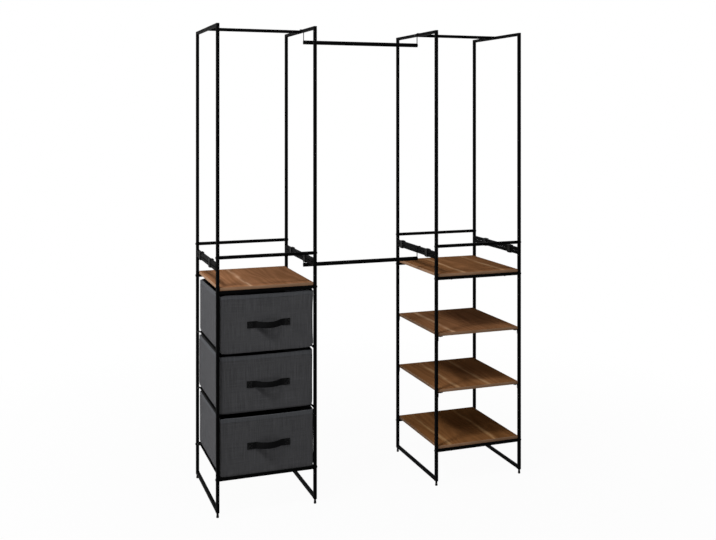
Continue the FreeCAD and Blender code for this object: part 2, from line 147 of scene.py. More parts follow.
def speckle(tree, place, scale, detail=2.0, roughness=0.5):
    inputs = {"Vector": place, "Scale": scale, "Detail": detail, "Roughness": roughness}
    return put(tree, "ShaderNodeTexNoise", inputs).outputs[0]


def rgb(red, green, blue):
    return (red, green, blue, 1.0)


def object_place(tree):
    return put(tree, "ShaderNodeTexCoord").outputs["Object"]


def cloth_place(tree):
    return put(tree, "ShaderNodeTexCoord").outputs["UV"]


print("pattern helpers ready")

# %% [markdown]
# Each finish is one material with one shader. What several finishes share, such as a grain or a weave, is
# a node group that is built once and placed in each of them. Copying the nodes into every material would
# work too, but then a change to the weave would have to be made many times.


# %% Helpers for materials and groups
def new_material(name):
    """Material with an empty shader, its tree and the shader."""
    material = bpy.data.materials.new(name)
    material.use_nodes = True
    tree = material.node_tree
    tree.nodes.clear()
    shader = put(tree, "ShaderNodeBsdfPrincipled")
    put(tree, "ShaderNodeOutputMaterial", {"Surface": shader.outputs[0]})
    return material, tree, shader


def new_group(name, inputs, outputs):
    """Node group whose sockets are given as name and kind."""
    group = bpy.data.node_groups.new(name, "ShaderNodeTree")
    for socket, kind in inputs.items():
        group.interface.new_socket(socket, in_out="INPUT", socket_type="NodeSocket" + kind)
    for socket, kind in outputs.items():
        group.interface.new_socket(socket, in_out="OUTPUT", socket_type="NodeSocket" + kind)
    start = put(group, "NodeGroupInput")
    end = put(group, "NodeGroupOutput")
    return group, start.outputs, end.inputs


def use_group(tree, group, inputs):
    return put(tree, "ShaderNodeGroup", inputs, node_tree=group).outputs


def set_shader(tree, shader, inputs):
    join(tree, shader.inputs, inputs)


def raise_surface(tree, shader, height, strength, distance):
    bump = put(tree, "ShaderNodeBump", {"Height": height, "Strength": strength, "Distance": distance})
    tree.links.new(bump.outputs[0], shader.inputs["Normal"])


print("material helpers ready")

# %% [markdown]
# The studio is white on white. The world is plain white where the camera or a reflection sees it, and
# softer where it lights the object, so the background doesn't flood the colours.


# %% World
def seen_directly(tree):
    """1 where the camera or a reflection looks at a surface, and 0 where the surface only lights others."""
    ray = put(tree, "ShaderNodeLightPath").outputs
    seen = calc(tree, "MAXIMUM", ray["Is Camera Ray"], ray["Is Glossy Ray"])
    return calc(tree, "MAXIMUM", seen, ray["Is Transmission Ray"])


world_light = 0.20
world = bpy.data.worlds.new("white studio")
scene.world = world
world.use_nodes = True
tree = world.node_tree
tree.nodes.clear()
strength = span(tree, seen_directly(tree), 0.0, 1.0, world_light, 1.0)
backdrop = put(tree, "ShaderNodeBackground", {"Color": rgb(1, 1, 1), "Strength": strength})
put(tree, "ShaderNodeOutputWorld", {"Surface": backdrop.outputs[0]})
print("world light:", world_light)

# %% [markdown]
# The floor is a large white sheet that keeps a faint shadow round the feet and fades to the white of the
# world further out, so no horizon shows. Lit paint alone would need far more light to look white, and
# that light would wash out the wardrobe. So the camera sees a glow with a little lit paint in it, and the
# shadow is in the paint.

# %% Floor
floor_reach = 14.0
fade_start = 0.7
fade_end = 2.4
glow_share = 0.965
floor_mesh = bmesh.new()
bmesh.ops.create_grid(floor_mesh, x_segments=1, y_segments=1, size=floor_reach)
floor_data = bpy.data.meshes.new("floor")
floor_mesh.to_mesh(floor_data)
floor_mesh.free()
floor = bpy.data.objects.new("floor", floor_data)
scene.collection.objects.link(floor)

floor_material = bpy.data.materials.new("white floor")
floor_material.use_nodes = True
tree = floor_material.node_tree
tree.nodes.clear()
away = put(tree, "ShaderNodeVectorMath", {0: object_place(tree)}, operation="LENGTH").outputs["Value"]
far = span(tree, away, fade_start, fade_end, glow_share, 1.0)
paint = put(tree, "ShaderNodeBsdfDiffuse", {"Color": rgb(0.45, 0.45, 0.45)})
glow = put(tree, "ShaderNodeEmission", {"Color": rgb(1, 1, 1), "Strength": 1.0})
white = calc(tree, "MULTIPLY", far, seen_directly(tree))
mix = put(tree, "ShaderNodeMixShader", {0: white, 1: paint.outputs[0], 2: glow.outputs[0]})
put(tree, "ShaderNodeOutputMaterial", {"Surface": mix.outputs[0]})
floor_data.materials.append(floor_material)
print("floor:", floor_data.name)

# %% [markdown]
# Three soft boxes light the wardrobe. The main one stands far to the left, because the left sides of the
# drawers are about twice as bright as their fronts. One above on the left lights the boards and draws the
# shadows under the handles, and it is the smallest, because a large one would blur them away. A weak one
# above the front keeps the shadows open.


# %% Lights
def soft_box(name, place, target, size, power):
    light = bpy.data.lights.new(name, "AREA")
    light.shape = "DISK"
    light.size = size
    light.energy = power
    lamp = bpy.data.objects.new(name, light)
    lamp.location = place
    lamp.rotation_euler = (Vector(target) - Vector(place)).to_track_quat("-Z", "Y").to_euler()
    scene.collection.objects.link(lamp)
    return lamp


middle = (cad_bounds[0] + cad_bounds[1]) / 2
soft_box("left soft box", (-4.2, -0.3, 1.7), middle, 1.8, 104)
soft_box("high soft box", (-1.8, -1.2, 3.4), middle, 0.75, 66)
soft_box("front soft box", (0.0, -2.4, 3.4), middle, 1.4, 17)
print("lights: 3 soft boxes")

# %% [markdown]
# Powder coat, moulded plastic and blackened screws all have a fine grain and slight differences in gloss.
# One group makes both from a place on the surface: a height for the grain, and a slow tone for the gloss.

# %% Grain that the coated finishes share
grain_group, given, made = new_group(
    "coat grain",
    {"Place": "Vector", "Grains per metre": "Float"},
    {"Height": "Float", "Tone": "Float"},
)
tree = grain_group
fine = speckle(tree, given["Place"], given["Grains per metre"], 2.0, 0.6)
peel_scale = calc(tree, "MULTIPLY", given["Grains per metre"], 0.27)
peel = speckle(tree, given["Place"], peel_scale, 1.0)
slow = speckle(tree, given["Place"], 7.0, 4.0, 0.55)
join(tree, made, {
    "Height": calc(tree, "MULTIPLY_ADD", peel, 1.4, fine),
    "Tone": span(tree, slow, 0.3, 0.7, 0.0, 1.0),
})


def coated_finish(name, grains, dark, pale, roughness, gloss, relief):
    material, tree, shader = new_material(name)
    grain = use_group(tree, grain_group, {"Place": object_place(tree), "Grains per metre": grains})
    set_shader(tree, shader, {
        "Base Color": tint(tree, grain["Tone"], dark, pale),
        "Roughness": span(tree, grain["Tone"], 0.0, 1.0, *roughness),
        "Specular IOR Level": gloss,
    })
    raise_surface(tree, shader, grain["Height"], *relief)
    print("material:", name)
    return material


print("group:", grain_group.name)

# %% [markdown]
# Woven cloth is two sets of threads, each passing over and under the other. Sine waves of the cloth's own
# coordinates give the round threads, and their product says which set lies on top. Uneven yarn makes the
# streaks called slubs, so each set of threads also gets a long thin noise along its own direction.

# %% Weave that the cloths share
weave_group, given, made = new_group(
    "plain weave",
    {"Place": "Vector", "Threads across": "Float", "Threads up": "Float"},
    {"Height": "Float", "Yarn": "Float", "Slub": "Float"},
)
tree = weave_group
axes = put(tree, "ShaderNodeSeparateXYZ", {"Vector": given["Place"]}).outputs
warp_turn = calc(tree, "MULTIPLY", calc(tree, "MULTIPLY", axes["X"], given["Threads across"]), math.pi)
weft_turn = calc(tree, "MULTIPLY", calc(tree, "MULTIPLY", axes["Y"], given["Threads up"]), math.pi)
warp_wave = calc(tree, "SINE", warp_turn)
weft_wave = calc(tree, "SINE", weft_turn)
over = calc(tree, "MULTIPLY", calc(tree, "MULTIPLY", warp_wave, weft_wave), 3.0)
over = span(tree, over, -1.0, 1.0, 0.0, 1.0)
warp_lift = calc(tree, "MULTIPLY_ADD", over, 0.75, 0.25)
weft_lift = calc(tree, "MULTIPLY_ADD", over, -0.75, 1.0)
warp_round = calc(tree, "MULTIPLY", calc(tree, "ABSOLUTE", warp_wave), warp_lift)
weft_round = calc(tree, "MULTIPLY", calc(tree, "ABSOLUTE", weft_wave), weft_lift)
warp_slub = speckle(tree, stretch(tree, given["Place"], (330.0, 11.0, 1.0)), 1.0, 3.0, 0.6)
weft_slub = speckle(tree, stretch(tree, given["Place"], (9.0, 420.0, 1.0)), 1.0, 3.0, 0.6)
slub = calc(tree, "ADD", calc(tree, "MULTIPLY", warp_slub, 0.62), calc(tree, "MULTIPLY", weft_slub, 0.38))
join(tree, made, {
    "Height": calc(tree, "MAXIMUM", warp_round, weft_round),
    "Yarn": speckle(tree, stretch(tree, given["Place"], (1500.0, 1500.0, 1.0)), 1.0, 2.0),
    "Slub": span(tree, slub, 0.36, 0.64, 0.0, 1.0),
})
print("group:", weave_group.name)

# %% [markdown]
# The frame is mild steel with a satin black powder coat. The powder melts into a skin like very fine
# orange peel, so the gloss is broken and the edges of the tube show as soft lines instead of sharp ones.

# %% Powder coated steel
powder_coat = coated_finish(
    "satin black powder coat", 1500.0, rgb(0.0014, 0.0014, 0.0015), rgb(0.0026, 0.0026, 0.0027),
    roughness=(0.52, 0.62), gloss=0.012, relief=(0.04, 0.0001))

# %% [markdown]
# Clips and foot pads are moulded in black plastic. A mould is etched with a fine texture that hides flow
# marks, so the plastic is a little paler and rougher than the coat beside it.

# %% Moulded plastic
black_moulding = coated_finish(
    "matte black moulding", 2600.0, rgb(0.003, 0.003, 0.003), rgb(0.006, 0.006, 0.0058),
    roughness=(0.48, 0.62), gloss=0.07, relief=(0.3, 0.00008))

# %% [markdown]
# Bolts and screws are steel that was blackened in a hot bath. The bath leaves a thin oily skin over
# turned metal, so they are the glossiest of the black pieces, and their dome heads catch a small light.

# %% Blackened screws and bolts
black_fixing = coated_finish(
    "blackened steel fixing", 4200.0, rgb(0.006, 0.006, 0.0065), rgb(0.014, 0.014, 0.0145),
    roughness=(0.30, 0.44), gloss=0.15, relief=(0.2, 0.00005))

# %% [markdown]
# The boards are particle board under a printed walnut paper. The print shows planks that run from front
# to back, with a pale line where two planks meet. One group draws the whole printed sheet on the board's
# own coordinates, in metres, and each board is cut from another part of the sheet, so no two look alike.
# Counting the joints to the left of a place gives its plank, and the nearest joint gives the pale line.

# %% Planks of the printed walnut sheet
plank_joints = [0.0, 0.137, 0.338, 0.498, 0.672]
walnut_group, given, made = new_group(
    "walnut print",
    {"Place": "Vector"},
    {"Colour": "Color", "Grain": "Float", "Gloss": "Float"},
)
tree = walnut_group
axes = put(tree, "ShaderNodeSeparateXYZ", {"Vector": given["Place"]}).outputs
edge_wander = speckle(tree, stretch(tree, given["Place"], (2.0, 5.0, 1.0)), 1.0, 1.0)
across = calc(tree, "MULTIPLY_ADD", edge_wander, 0.004, axes["X"])
plank_number = 0.0
nearest_joint = 1.0
for joint in plank_joints:
    beyond = calc(tree, "GREATER_THAN", across, joint)
    plank_number = calc(tree, "ADD", plank_number, beyond)
    gap = calc(tree, "ABSOLUTE", calc(tree, "SUBTRACT", across, joint))
    nearest_joint = calc(tree, "MINIMUM", nearest_joint, gap)
plank_shift = calc(tree, "MULTIPLY", plank_number, 3.71)
plank_place = put(tree, "ShaderNodeCombineXYZ", {"X": across, "Y": axes["Y"], "Z": plank_shift}).outputs[0]
print("plank joints:", len(plank_joints))

# %% [markdown]
# Inside a plank, curves of equal growth are the sum of a slope along the plank and the square of the
# distance from its middle, which gives the pointed arches of a flat sawn log. A ready made wave texture
# would draw rings too, but the same ones in every plank. Streaks, broad clouds and a tone of the plank's
# own are added to the rings, and pores are short dark dashes along the grain.

# %% Figure of the walnut
bend = speckle(tree, stretch(tree, plank_place, (9.0, 2.4, 1.0)), 1.0, 2.0)
heart = calc(tree, "MULTIPLY_ADD", bend, 0.09, calc(tree, "FRACT", calc(tree, "MULTIPLY", across, 6.4)))
heart = calc(tree, "SUBTRACT", heart, 0.5)
arch = calc(tree, "MULTIPLY", calc(tree, "MULTIPLY", heart, heart), 26.0)
slope = calc(tree, "MULTIPLY_ADD", axes["Y"], 6.5, arch)
growth = calc(tree, "MULTIPLY_ADD", bend, 7.0, slope)
rings = calc(tree, "MULTIPLY_ADD", calc(tree, "SINE", calc(tree, "MULTIPLY", growth, 2.6)), 0.5, 0.5)
streak = speckle(tree, stretch(tree, plank_place, (150.0, 5.0, 1.0)), 1.0, 4.0, 0.62)
broad = speckle(tree, stretch(tree, plank_place, (21.0, 2.2, 1.0)), 1.0, 3.0)
pores = speckle(tree, stretch(tree, plank_place, (1500.0, 60.0, 1.0)), 1.0, 2.0)
pores = span(tree, pores, 0.58, 0.72, 0.0, 1.0)

plank_tone = put(tree, "ShaderNodeTexWhiteNoise", {"W": calc(tree, "ADD", plank_number, 0.37)},
                 noise_dimensions="1D").outputs["Value"]
figure = calc(tree, "ADD", calc(tree, "MULTIPLY", rings, 0.18), calc(tree, "MULTIPLY", streak, 0.42))
figure = calc(tree, "ADD", figure, calc(tree, "MULTIPLY", broad, 0.45))
figure = calc(tree, "ADD", figure, calc(tree, "MULTIPLY_ADD", plank_tone, 0.16, -0.08))
print("figure: rings, streaks, clouds and pores")

# %% [markdown]
# Three browns carry the figure, from dark to pale, and the pores and the joints are laid over them. The
# colour also turns darker and warmer along the sheet. That is painted shade: each board's tone is set
# by where it is cut, to the light that reaches it, and the lower boards of the right tower take the
# darker end, as if shaded by the boards above them.

# %% Colours of the walnut
dark_walnut = rgb(0.165, 0.073, 0.031)
mid_walnut = rgb(0.297, 0.139, 0.068)
pale_walnut = rgb(0.434, 0.225, 0.118)
colour = tint(tree, span(tree, figure, 0.26, 0.70, 0.0, 1.0), dark_walnut, mid_walnut)
colour = tint(tree, span(tree, figure, 0.70, 0.98, 0.0, 1.0), colour, pale_walnut)
colour = tint(tree, calc(tree, "MULTIPLY", pores, 0.35), colour, rgb(0.045, 0.022, 0.012))
fading = speckle(tree, stretch(tree, plank_place, (4.0, 9.0, 1.0)), 1.0, 1.0)
joint_line = span(tree, nearest_joint, 0.0015, 0.0130, 1.0, 0.0)
joint_line = calc(tree, "MULTIPLY", joint_line, span(tree, fading, 0.36, 0.60, 0.15, 0.85))
colour = tint(tree, joint_line, colour, rgb(0.56, 0.35, 0.22))
# Painted shade: darker and warmer along the sheet, so boards cut further along look shaded.
painted_shade_along_sheet = span(tree, axes["Y"], 0.3, 6.1, 0.0, 1.0)
shaded_sheet_end = tint(tree, 1.0, colour, rgb(0.82, 0.77, 0.54), "MULTIPLY")
join(tree, made, {
    "Colour": tint(tree, painted_shade_along_sheet, colour, shaded_sheet_end),
    "Grain": calc(tree, "MULTIPLY_ADD", pores, -0.6, streak),
    "Gloss": broad,
})
print("group:", walnut_group.name)

# %% [markdown]
# The faces of a board carry the print under a matte lacquer with the grain pressed into it. The shader
# has no gloss of its own, because the boards are seen at a low angle, where even a weak gloss mirrors the
# white studio and greys the wood.

# %% Board faces
walnut_face, tree, shader = new_material("walnut print on board")
print_made = use_group(tree, walnut_group, {"Place": cloth_place(tree)})
set_shader(tree, shader, {
    "Base Color": print_made["Colour"],
    "Roughness": span(tree, print_made["Gloss"], 0.3, 0.7, 0.60, 0.72),
    "Specular IOR Level": 0.0,
})
raise_surface(tree, shader, print_made["Grain"], 0.25, 0.0002)
print("material:", walnut_face.name)

# %% [markdown]
# The cut sides of a board are covered with a glued strip whose print is plainer and a little greyer than
# the face. Its lines run along the strip.

# %% Edge band
edge_band, tree, shader = new_material("walnut edge band")
place = cloth_place(tree)
lines = speckle(tree, stretch(tree, place, (900.0, 14.0, 1.0)), 1.0, 3.0, 0.6)
clouds = speckle(tree, stretch(tree, place, (60.0, 9.0, 1.0)), 1.0, 2.0)
band_tone = calc(tree, "ADD", calc(tree, "MULTIPLY", lines, 0.6), calc(tree, "MULTIPLY", clouds, 0.4))
band_tone = span(tree, band_tone, 0.35, 0.65, 0.0, 1.0)
set_shader(tree, shader, {
    "Base Color": tint(tree, band_tone, rgb(0.205, 0.114, 0.063), rgb(0.37, 0.216, 0.129)),
    "Roughness": span(tree, clouds, 0.3, 0.7, 0.5, 0.64),
    "Specular IOR Level": 0.04,
})
raise_surface(tree, shader, lines, 0.2, 0.00015)
print("material:", edge_band.name)

# %% [markdown]
# The drawers are covered in charcoal linen look cloth: dark warp, slightly paler weft, and slubs that
# show as faint upright streaks. The threads are about 0.8 mm apart, far below what the photograph
# resolves, but they break up the light, so both their height and their two greys are there.

# %% Charcoal linen
charcoal_linen, tree, shader = new_material("charcoal linen weave")
threads = {"Place": cloth_place(tree), "Threads across": 1250.0, "Threads up": 1150.0}
weave = use_group(tree, weave_group, threads)
thread = tint(tree, weave["Height"], rgb(0.024, 0.024, 0.026), rgb(0.088, 0.088, 0.092))
slubbed = tint(tree, span(tree, weave["Slub"], 0.0, 1.0, 0.0, 0.7), thread, rgb(0.122, 0.122, 0.128))
heather = tint(tree, span(tree, weave["Yarn"], 0.40, 0.72, 0.0, 0.5), slubbed, rgb(0.030, 0.030, 0.033))
set_shader(tree, shader, {
    "Base Color": heather,
    "Roughness": span(tree, weave["Slub"], 0.0, 1.0, 0.92, 0.82),
    "Specular IOR Level": 0.02,
})
cloth_height = calc(tree, "MULTIPLY_ADD", weave["Slub"], 0.7, weave["Height"])
raise_surface(tree, shader, cloth_height, 0.6, 0.0003)
print("material:", charcoal_linen.name)

# %% [markdown]
# The hem is a folded strip in the same grey, but its threads are packed closer from top to bottom. It is
# the same weave group with other counts, which costs one number and not a new pattern.

# %% Hem tape
hem_tape, tree, shader = new_material("charcoal hem tape")
threads = {"Place": cloth_place(tree), "Threads across": 1250.0, "Threads up": 1700.0}
weave = use_group(tree, weave_group, threads)
thread = tint(tree, weave["Height"], rgb(0.026, 0.027, 0.030), rgb(0.094, 0.097, 0.104))
tape = tint(tree, span(tree, weave["Slub"], 0.0, 1.0, 0.0, 0.5), thread, rgb(0.129, 0.133, 0.142))
set_shader(tree, shader, {
    "Base Color": tape,
    "Roughness": span(tree, weave["Slub"], 0.0, 1.0, 0.88, 0.78),
    "Specular IOR Level": 0.02,
})
raise_surface(tree, shader, weave["Height"], 0.5, 0.0003)
print("material:", hem_tape.name)

# %% [markdown]
# Inside, the bins are lined with spunbond, a cheap felt of long fibres that hot rollers weld together in
# a grid of small dots. Two crossed sine waves give the dots, and a fine noise gives the fibres between
# them.

# %% Spunbond lining
spunbond, tree, shader = new_material("charcoal spunbond lining")
place = cloth_place(tree)
turns = put(tree, "ShaderNodeSeparateXYZ", {"Vector": stretch(tree, place, (1600.0, 1600.0, 1.0))}).outputs
dots = calc(tree, "MULTIPLY", calc(tree, "SINE", turns["X"]), calc(tree, "SINE", turns["Y"]))
dots = span(tree, calc(tree, "ABSOLUTE", dots), 0.35, 0.75, 0.0, 1.0)
fibres = speckle(tree, stretch(tree, place, (900.0, 900.0, 1.0)), 1.0, 3.0, 0.7)
lining_tone = calc(tree, "ADD", calc(tree, "MULTIPLY", fibres, 0.7), calc(tree, "MULTIPLY", dots, 0.3))
set_shader(tree, shader, {
    "Base Color": tint(tree, lining_tone, rgb(0.016, 0.016, 0.018), rgb(0.052, 0.052, 0.056)),
    "Roughness": span(tree, fibres, 0.3, 0.7, 0.75, 0.95),
    "Specular IOR Level": 0.25,
})
raise_surface(tree, shader, lining_tone, 0.45, 0.0002)
print("material:", spunbond.name)

# %% [markdown]
# The handles are black webbing, woven from thick yarn, so its ribs are about twice as far apart as the
# threads of the cloth. It is almost black, and only the tops of the ribs are a shade paler.

# %% Black webbing
black_web, tree, shader = new_material("black ribbed webbing")
threads = {"Place": cloth_place(tree), "Threads across": 520.0, "Threads up": 900.0}
weave = use_group(tree, weave_group, threads)
web_colour = tint(tree, weave["Height"], rgb(0.0020, 0.0020, 0.0022), rgb(0.0058, 0.0058, 0.0061))
worn = span(tree, weave["Yarn"], 0.45, 0.75, 0.0, 0.4)
web_colour = tint(tree, worn, web_colour, rgb(0.0095, 0.0095, 0.01))
set_shader(tree, shader, {
    "Base Color": web_colour,
    "Roughness": span(tree, weave["Yarn"], 0.3, 0.7, 0.66, 0.84),
    "Specular IOR Level": 0.03,
})
raise_surface(tree, shader, weave["Height"], 0.8, 0.0004)
print("material:", black_web.name)

# %% [markdown]
# Hems are sewn with charcoal thread and handles with black thread. A stitch is only a few millimetres
# long, so a fine noise that stands for the twist is all that such a thread needs.


# %% Sewing threads
def twisted_thread(name, dark, pale, roughness, gloss):
    material, tree, shader = new_material(name)
    twist = speckle(tree, object_place(tree), 2400.0, 2.0)
    set_shader(tree, shader, {
        "Base Color": tint(tree, twist, dark, pale),
        "Roughness": span(tree, twist, 0.3, 0.7, *roughness),
        "Specular IOR Level": gloss,
    })
    raise_surface(tree, shader, twist, 0.4, 0.0001)
    print("material:", name)
    return material


sewing_thread = twisted_thread(
    "charcoal sewing thread", rgb(0.045, 0.045, 0.048), rgb(0.11, 0.11, 0.115),
    roughness=(0.6, 0.8), gloss=0.3)
black_thread = twisted_thread(
    "black sewing thread", rgb(0.012, 0.012, 0.013), rgb(0.035, 0.035, 0.037),
    roughness=(0.55, 0.75), gloss=0.5)

# %% [markdown]
# The floor of a bin is stiffened by a loose board, which is fibre board in a glued skin of the same felt
# as the lining. It shows when a drawer is pulled out, so it gets a soft mottled grey.

# %% Covered fibre board
covered_board, tree, shader = new_material("cloth covered fibre board")
felt = speckle(tree, object_place(tree), 900.0, 3.0, 0.7)
clouds = speckle(tree, object_place(tree), 14.0, 3.0)
felt_tone = calc(tree, "ADD", calc(tree, "MULTIPLY", felt, 0.7), calc(tree, "MULTIPLY", clouds, 0.3))
set_shader(tree, shader, {
    "Base Color": tint(tree, felt_tone, rgb(0.02, 0.02, 0.022), rgb(0.066, 0.066, 0.07)),
    "Roughness": span(tree, felt, 0.3, 0.7, 0.8, 0.95),
    "Specular IOR Level": 0.2,
})
raise_surface(tree, shader, felt, 0.5, 0.0003)
print("material:", covered_board.name)

# %% [markdown]
# Every solid of the frame takes the finish of its material slot. What is modelled anew further down hides
# its solid, and the rest, such as the tubes, the runners and the brackets, stays as it came in.

# %% Finishes of the solids that stay
finish_of_slot = {
    "black_steel": powder_coat,
    "walnut_board": walnut_face,
    "charcoal_fabric": charcoal_linen,
    "black_webbing": black_web,
    "fibre_board": covered_board,
    "black_plastic": black_moulding,
    "black_fixings": black_fixing,
}
for name, node in nodes.items():
    finish = finish_of_slot[slot_of_node[name]]
    if not node.material_slots:
        node.data.materials.append(finish)
    for place in node.material_slots:
        place.material = finish
print("solids with a finish:", len(nodes))

# %% [markdown]
# One helper turns a bmesh into a finished piece. A piece keeps its place in its mesh, rides on one body,
# and hides the solid that it stands for. Smooth shading with sharp edges over a set angle keeps flat
# faces flat.

# %% Helper for pieces
sharp_angle = math.radians(40)


def finish_piece(name, mesh, body, materials, replaced=()):
    data = bpy.data.meshes.new(name)
    mesh.to_mesh(data)
    mesh.free()
    for material in materials:
        data.materials.append(material)
    data.shade_smooth()
    data.set_sharp_from_angle(angle=sharp_angle)
    piece = bpy.data.objects.new(name, data)
    scene.collection.objects.link(piece)
    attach(piece, body)
    if replaced:
        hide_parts(*replaced)
    return piece


print("sharp angle:", round(math.degrees(sharp_angle)), "degrees")

# %% [markdown]
# Three modifiers finish soft and thin pieces: subdivision rounds them, solidify gives a sheet its
# thickness, and bevel softens what is left sharp. Modelling the thickness by hand would work too, but then
# every later move of the sheet would have to be made on both of its sides.

# %% Modifiers that finish a piece
soften_angle = math.radians(50)


def subdivide(piece, levels):
    modifier = piece.modifiers.new("rounding", "SUBSURF")
    modifier.levels = levels
    modifier.render_levels = levels


def thicken(piece, thickness, offset, inner_material=0):
    modifier = piece.modifiers.new("thickness", "SOLIDIFY")
    modifier.thickness = thickness
    modifier.offset = offset
    modifier.use_even_offset = True
    modifier.material_offset = inner_material


def soften(piece, width, segments):
    modifier = piece.modifiers.new("soft edges", "BEVEL")
    modifier.width = width
    modifier.segments = segments
    modifier.limit_method = "ANGLE"
    modifier.angle_limit = soften_angle


print("soften angle:", round(math.degrees(soften_angle)), "degrees")

# %% [markdown]
# Most new pieces use the same few moves of bmesh: bevel edges, round the corners of an outline, and pull
# an open rim along. Each is named here once, so that the cells below read like the steps of a maker.


# %% Helpers for edges and rims
def bevel_edges(mesh, edges, width, segments):
    bmesh.ops.bevel(mesh, geom=edges, offset=width, offset_type="OFFSET", affect="EDGES",
                    segments=segments, profile=0.5, material=-1)


def round_corners(mesh, corners, radius, segments):
    bmesh.ops.bevel(mesh, geom=corners, offset=radius, offset_type="OFFSET", affect="VERTICES",
                    segments=segments, profile=0.5, material=-1)


def pull_rim(mesh, rim, way=(0, 0, 0)):
    """Extrudes open edges, moves the new points, and gives the points and the new rim."""
    made_here = bmesh.ops.extrude_edge_only(mesh, edges=rim)["geom"]
    points = [part for part in made_here if isinstance(part, bmesh.types.BMVert)]
    bmesh.ops.translate(mesh, vec=way, verts=points)
    fresh = set(points)
    return points, [edge for edge in mesh.edges if edge.verts[0] in fresh and edge.verts[1] in fresh]


def chain(mesh, places):
    """Points and the edges that join each of them to the next."""
    points = [mesh.verts.new(place) for place in places]
    return points, [mesh.edges.new(pair) for pair in zip(points, points[1:])]


print("edge helpers ready")

# %% [markdown]
# A turned piece is a half outline that is spun round its axis. A piece that comes many times is one
# pattern, made once at the origin, and copies of it are stamped into a mesh, each at its own place.


# %% Helpers for turned and repeated pieces
def spin_outline(mesh, outline, steps):
    """Spins a half outline, given as radius and height, once round the upright axis."""
    points, edges = chain(mesh, [(radius, 0, z) for radius, z in outline])
    bmesh.ops.spin(mesh, geom=points + edges, cent=(0, 0, 0), axis=(0, 0, 1), angle=math.tau,
                   steps=steps, use_merge=True)
    bmesh.ops.remove_doubles(mesh, verts=mesh.verts, dist=1e-6)


def stamp(mesh, pattern, matrix):
    """Adds a copy of a mesh to a bmesh, set in place by a matrix."""
    count = len(mesh.verts)
    mesh.from_mesh(pattern)
    mesh.verts.ensure_lookup_table()
    bmesh.ops.transform(mesh, matrix=matrix, verts=mesh.verts[count:])


def as_pattern(name, mesh):
    pattern = bpy.data.meshes.new(name)
    mesh.to_mesh(pattern)
    mesh.free()
    return pattern


print("pattern stamps ready")

# %% [markdown]
# A shelf board is a plain slab with slightly rounded corners and a fine bevel where the edge band meets
# the face. A cube that is scaled to the solid and bevelled twice gives it. The faces and the band are
# separate materials, and the board's coordinates start at its own place on the printed sheet. That
# place also sets the board's painted shade, which is darkest on the lowest boards of the right tower.

# %% Shelf boards
board_corner = 2.0 * MM
band_bevel = 0.7 * MM
# Where a board is cut from the sheet also sets its painted shade: further along is darker.
sheet_start_and_shade = {
    "left_tower_shelf": Vector((0.556, 0.31)),
    "right_tower_shelf_1": Vector((0.381, 3.17)),
    "right_tower_shelf_2": Vector((0.600, 1.94)),
    "right_tower_shelf_3": Vector((-0.093, 4.45)),
    "right_tower_shelf_4": Vector((0.082, 5.72)),
}


def shelf_board(node, start):
    low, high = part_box(node)
    size = high - low
    mesh = bmesh.new()
    bmesh.ops.create_cube(mesh, size=1.0)
    bmesh.ops.scale(mesh, vec=size, verts=mesh.verts)
    bmesh.ops.translate(mesh, vec=(low + high) / 2, verts=mesh.verts)
    upright = [edge for edge in mesh.edges if abs(edge.verts[0].co.z - edge.verts[1].co.z) > size.z / 2]
    bevel_edges(mesh, upright, board_corner, 4)
    rims = [edge for edge in mesh.edges if edge.verts[0].co.z == edge.verts[1].co.z]
    bevel_edges(mesh, rims, band_bevel, 3)
    sheet = mesh.loops.layers.uv.new("sheet")
    for face in mesh.faces:
        flat = abs(face.normal.z) > 0.9
        face.material_index = 0 if flat else 1
        for loop in face.loops:
            from_low = loop.vert.co - low
            if flat:
                loop[sheet].uv = Vector((from_low.x, from_low.y)) + start
            elif abs(face.normal.y) > abs(face.normal.x):
                loop[sheet].uv = Vector((from_low.z, from_low.x)) + start
            else:
                loop[sheet].uv = Vector((from_low.z, from_low.y)) + start
    return finish_piece(node + "_board", mesh, "frame", [walnut_face, edge_band], [node])


for node, start in sheet_start_and_shade.items():
    shelf_board(node, start)
print("boards:", len(sheet_start_and_shade))

# %% [markdown]
# A drawer is a bin of cloth over stiff card. Its walls aren't flat plates: they bow in between the
# corners, the front rim sinks in the middle, and the corners are round. The bin starts as the floor's
# outline with rounded corners, which is raised row by row by extruding its rim. Then each point is moved
# by one rule for sag, so that the walls, the hem and the stitches can all follow the same rule.

# %% Sizes of the drawers
bin_corner = {"top_drawer": 7.0 * MM, "middle_drawer": 5.0 * MM, "bottom_drawer": 6.0 * MM}
# How far the cloth goes past the solid at the left, right, front and rear, in millimetres.
cloth_reach = {
    "top_drawer": (0.7, 0.7, 3.0, 3.0),
    "middle_drawer": (0.7, -1.2, -4.0, 16.0),
    "bottom_drawer": (0.7, 0.7, 3.0, 7.0),
}
bin_wall = 2.6 * MM
hem_height = 16.0 * MM
# Heights of the rows of points below the hem, as shares of the wall's height.
row_shares = [0.009, 0.024, 0.045, 0.08, 0.15, 0.25, 0.35, 0.45, 0.55, 0.65, 0.75, 0.84, 0.89]
# How far the front and the rear bow in at half height, and how far each side is pinched in there.
wall_bow = {"top_drawer": 2.4 * MM, "middle_drawer": 1.8 * MM, "bottom_drawer": 2.0 * MM}
left_pinch = {"top_drawer": 0.6 * MM, "middle_drawer": 0.0 * MM, "bottom_drawer": 0.3 * MM}
right_pinch = {"top_drawer": 3.4 * MM, "middle_drawer": 0.4 * MM, "bottom_drawer": 1.0 * MM}
# How far the front's lower edge hangs below the floor, and how far back that reaches.
front_hang = {"top_drawer": 5.0 * MM, "middle_drawer": 0.0 * MM, "bottom_drawer": 3.0 * MM}
front_fold = 6.0 * MM
# The rounded foot of the walls. That of the sides is squarer near the front.
roll_height = 18.0 * MM
roll_side = 9.5 * MM
roll_front = 1.5 * MM
square_front = 60.0 * MM
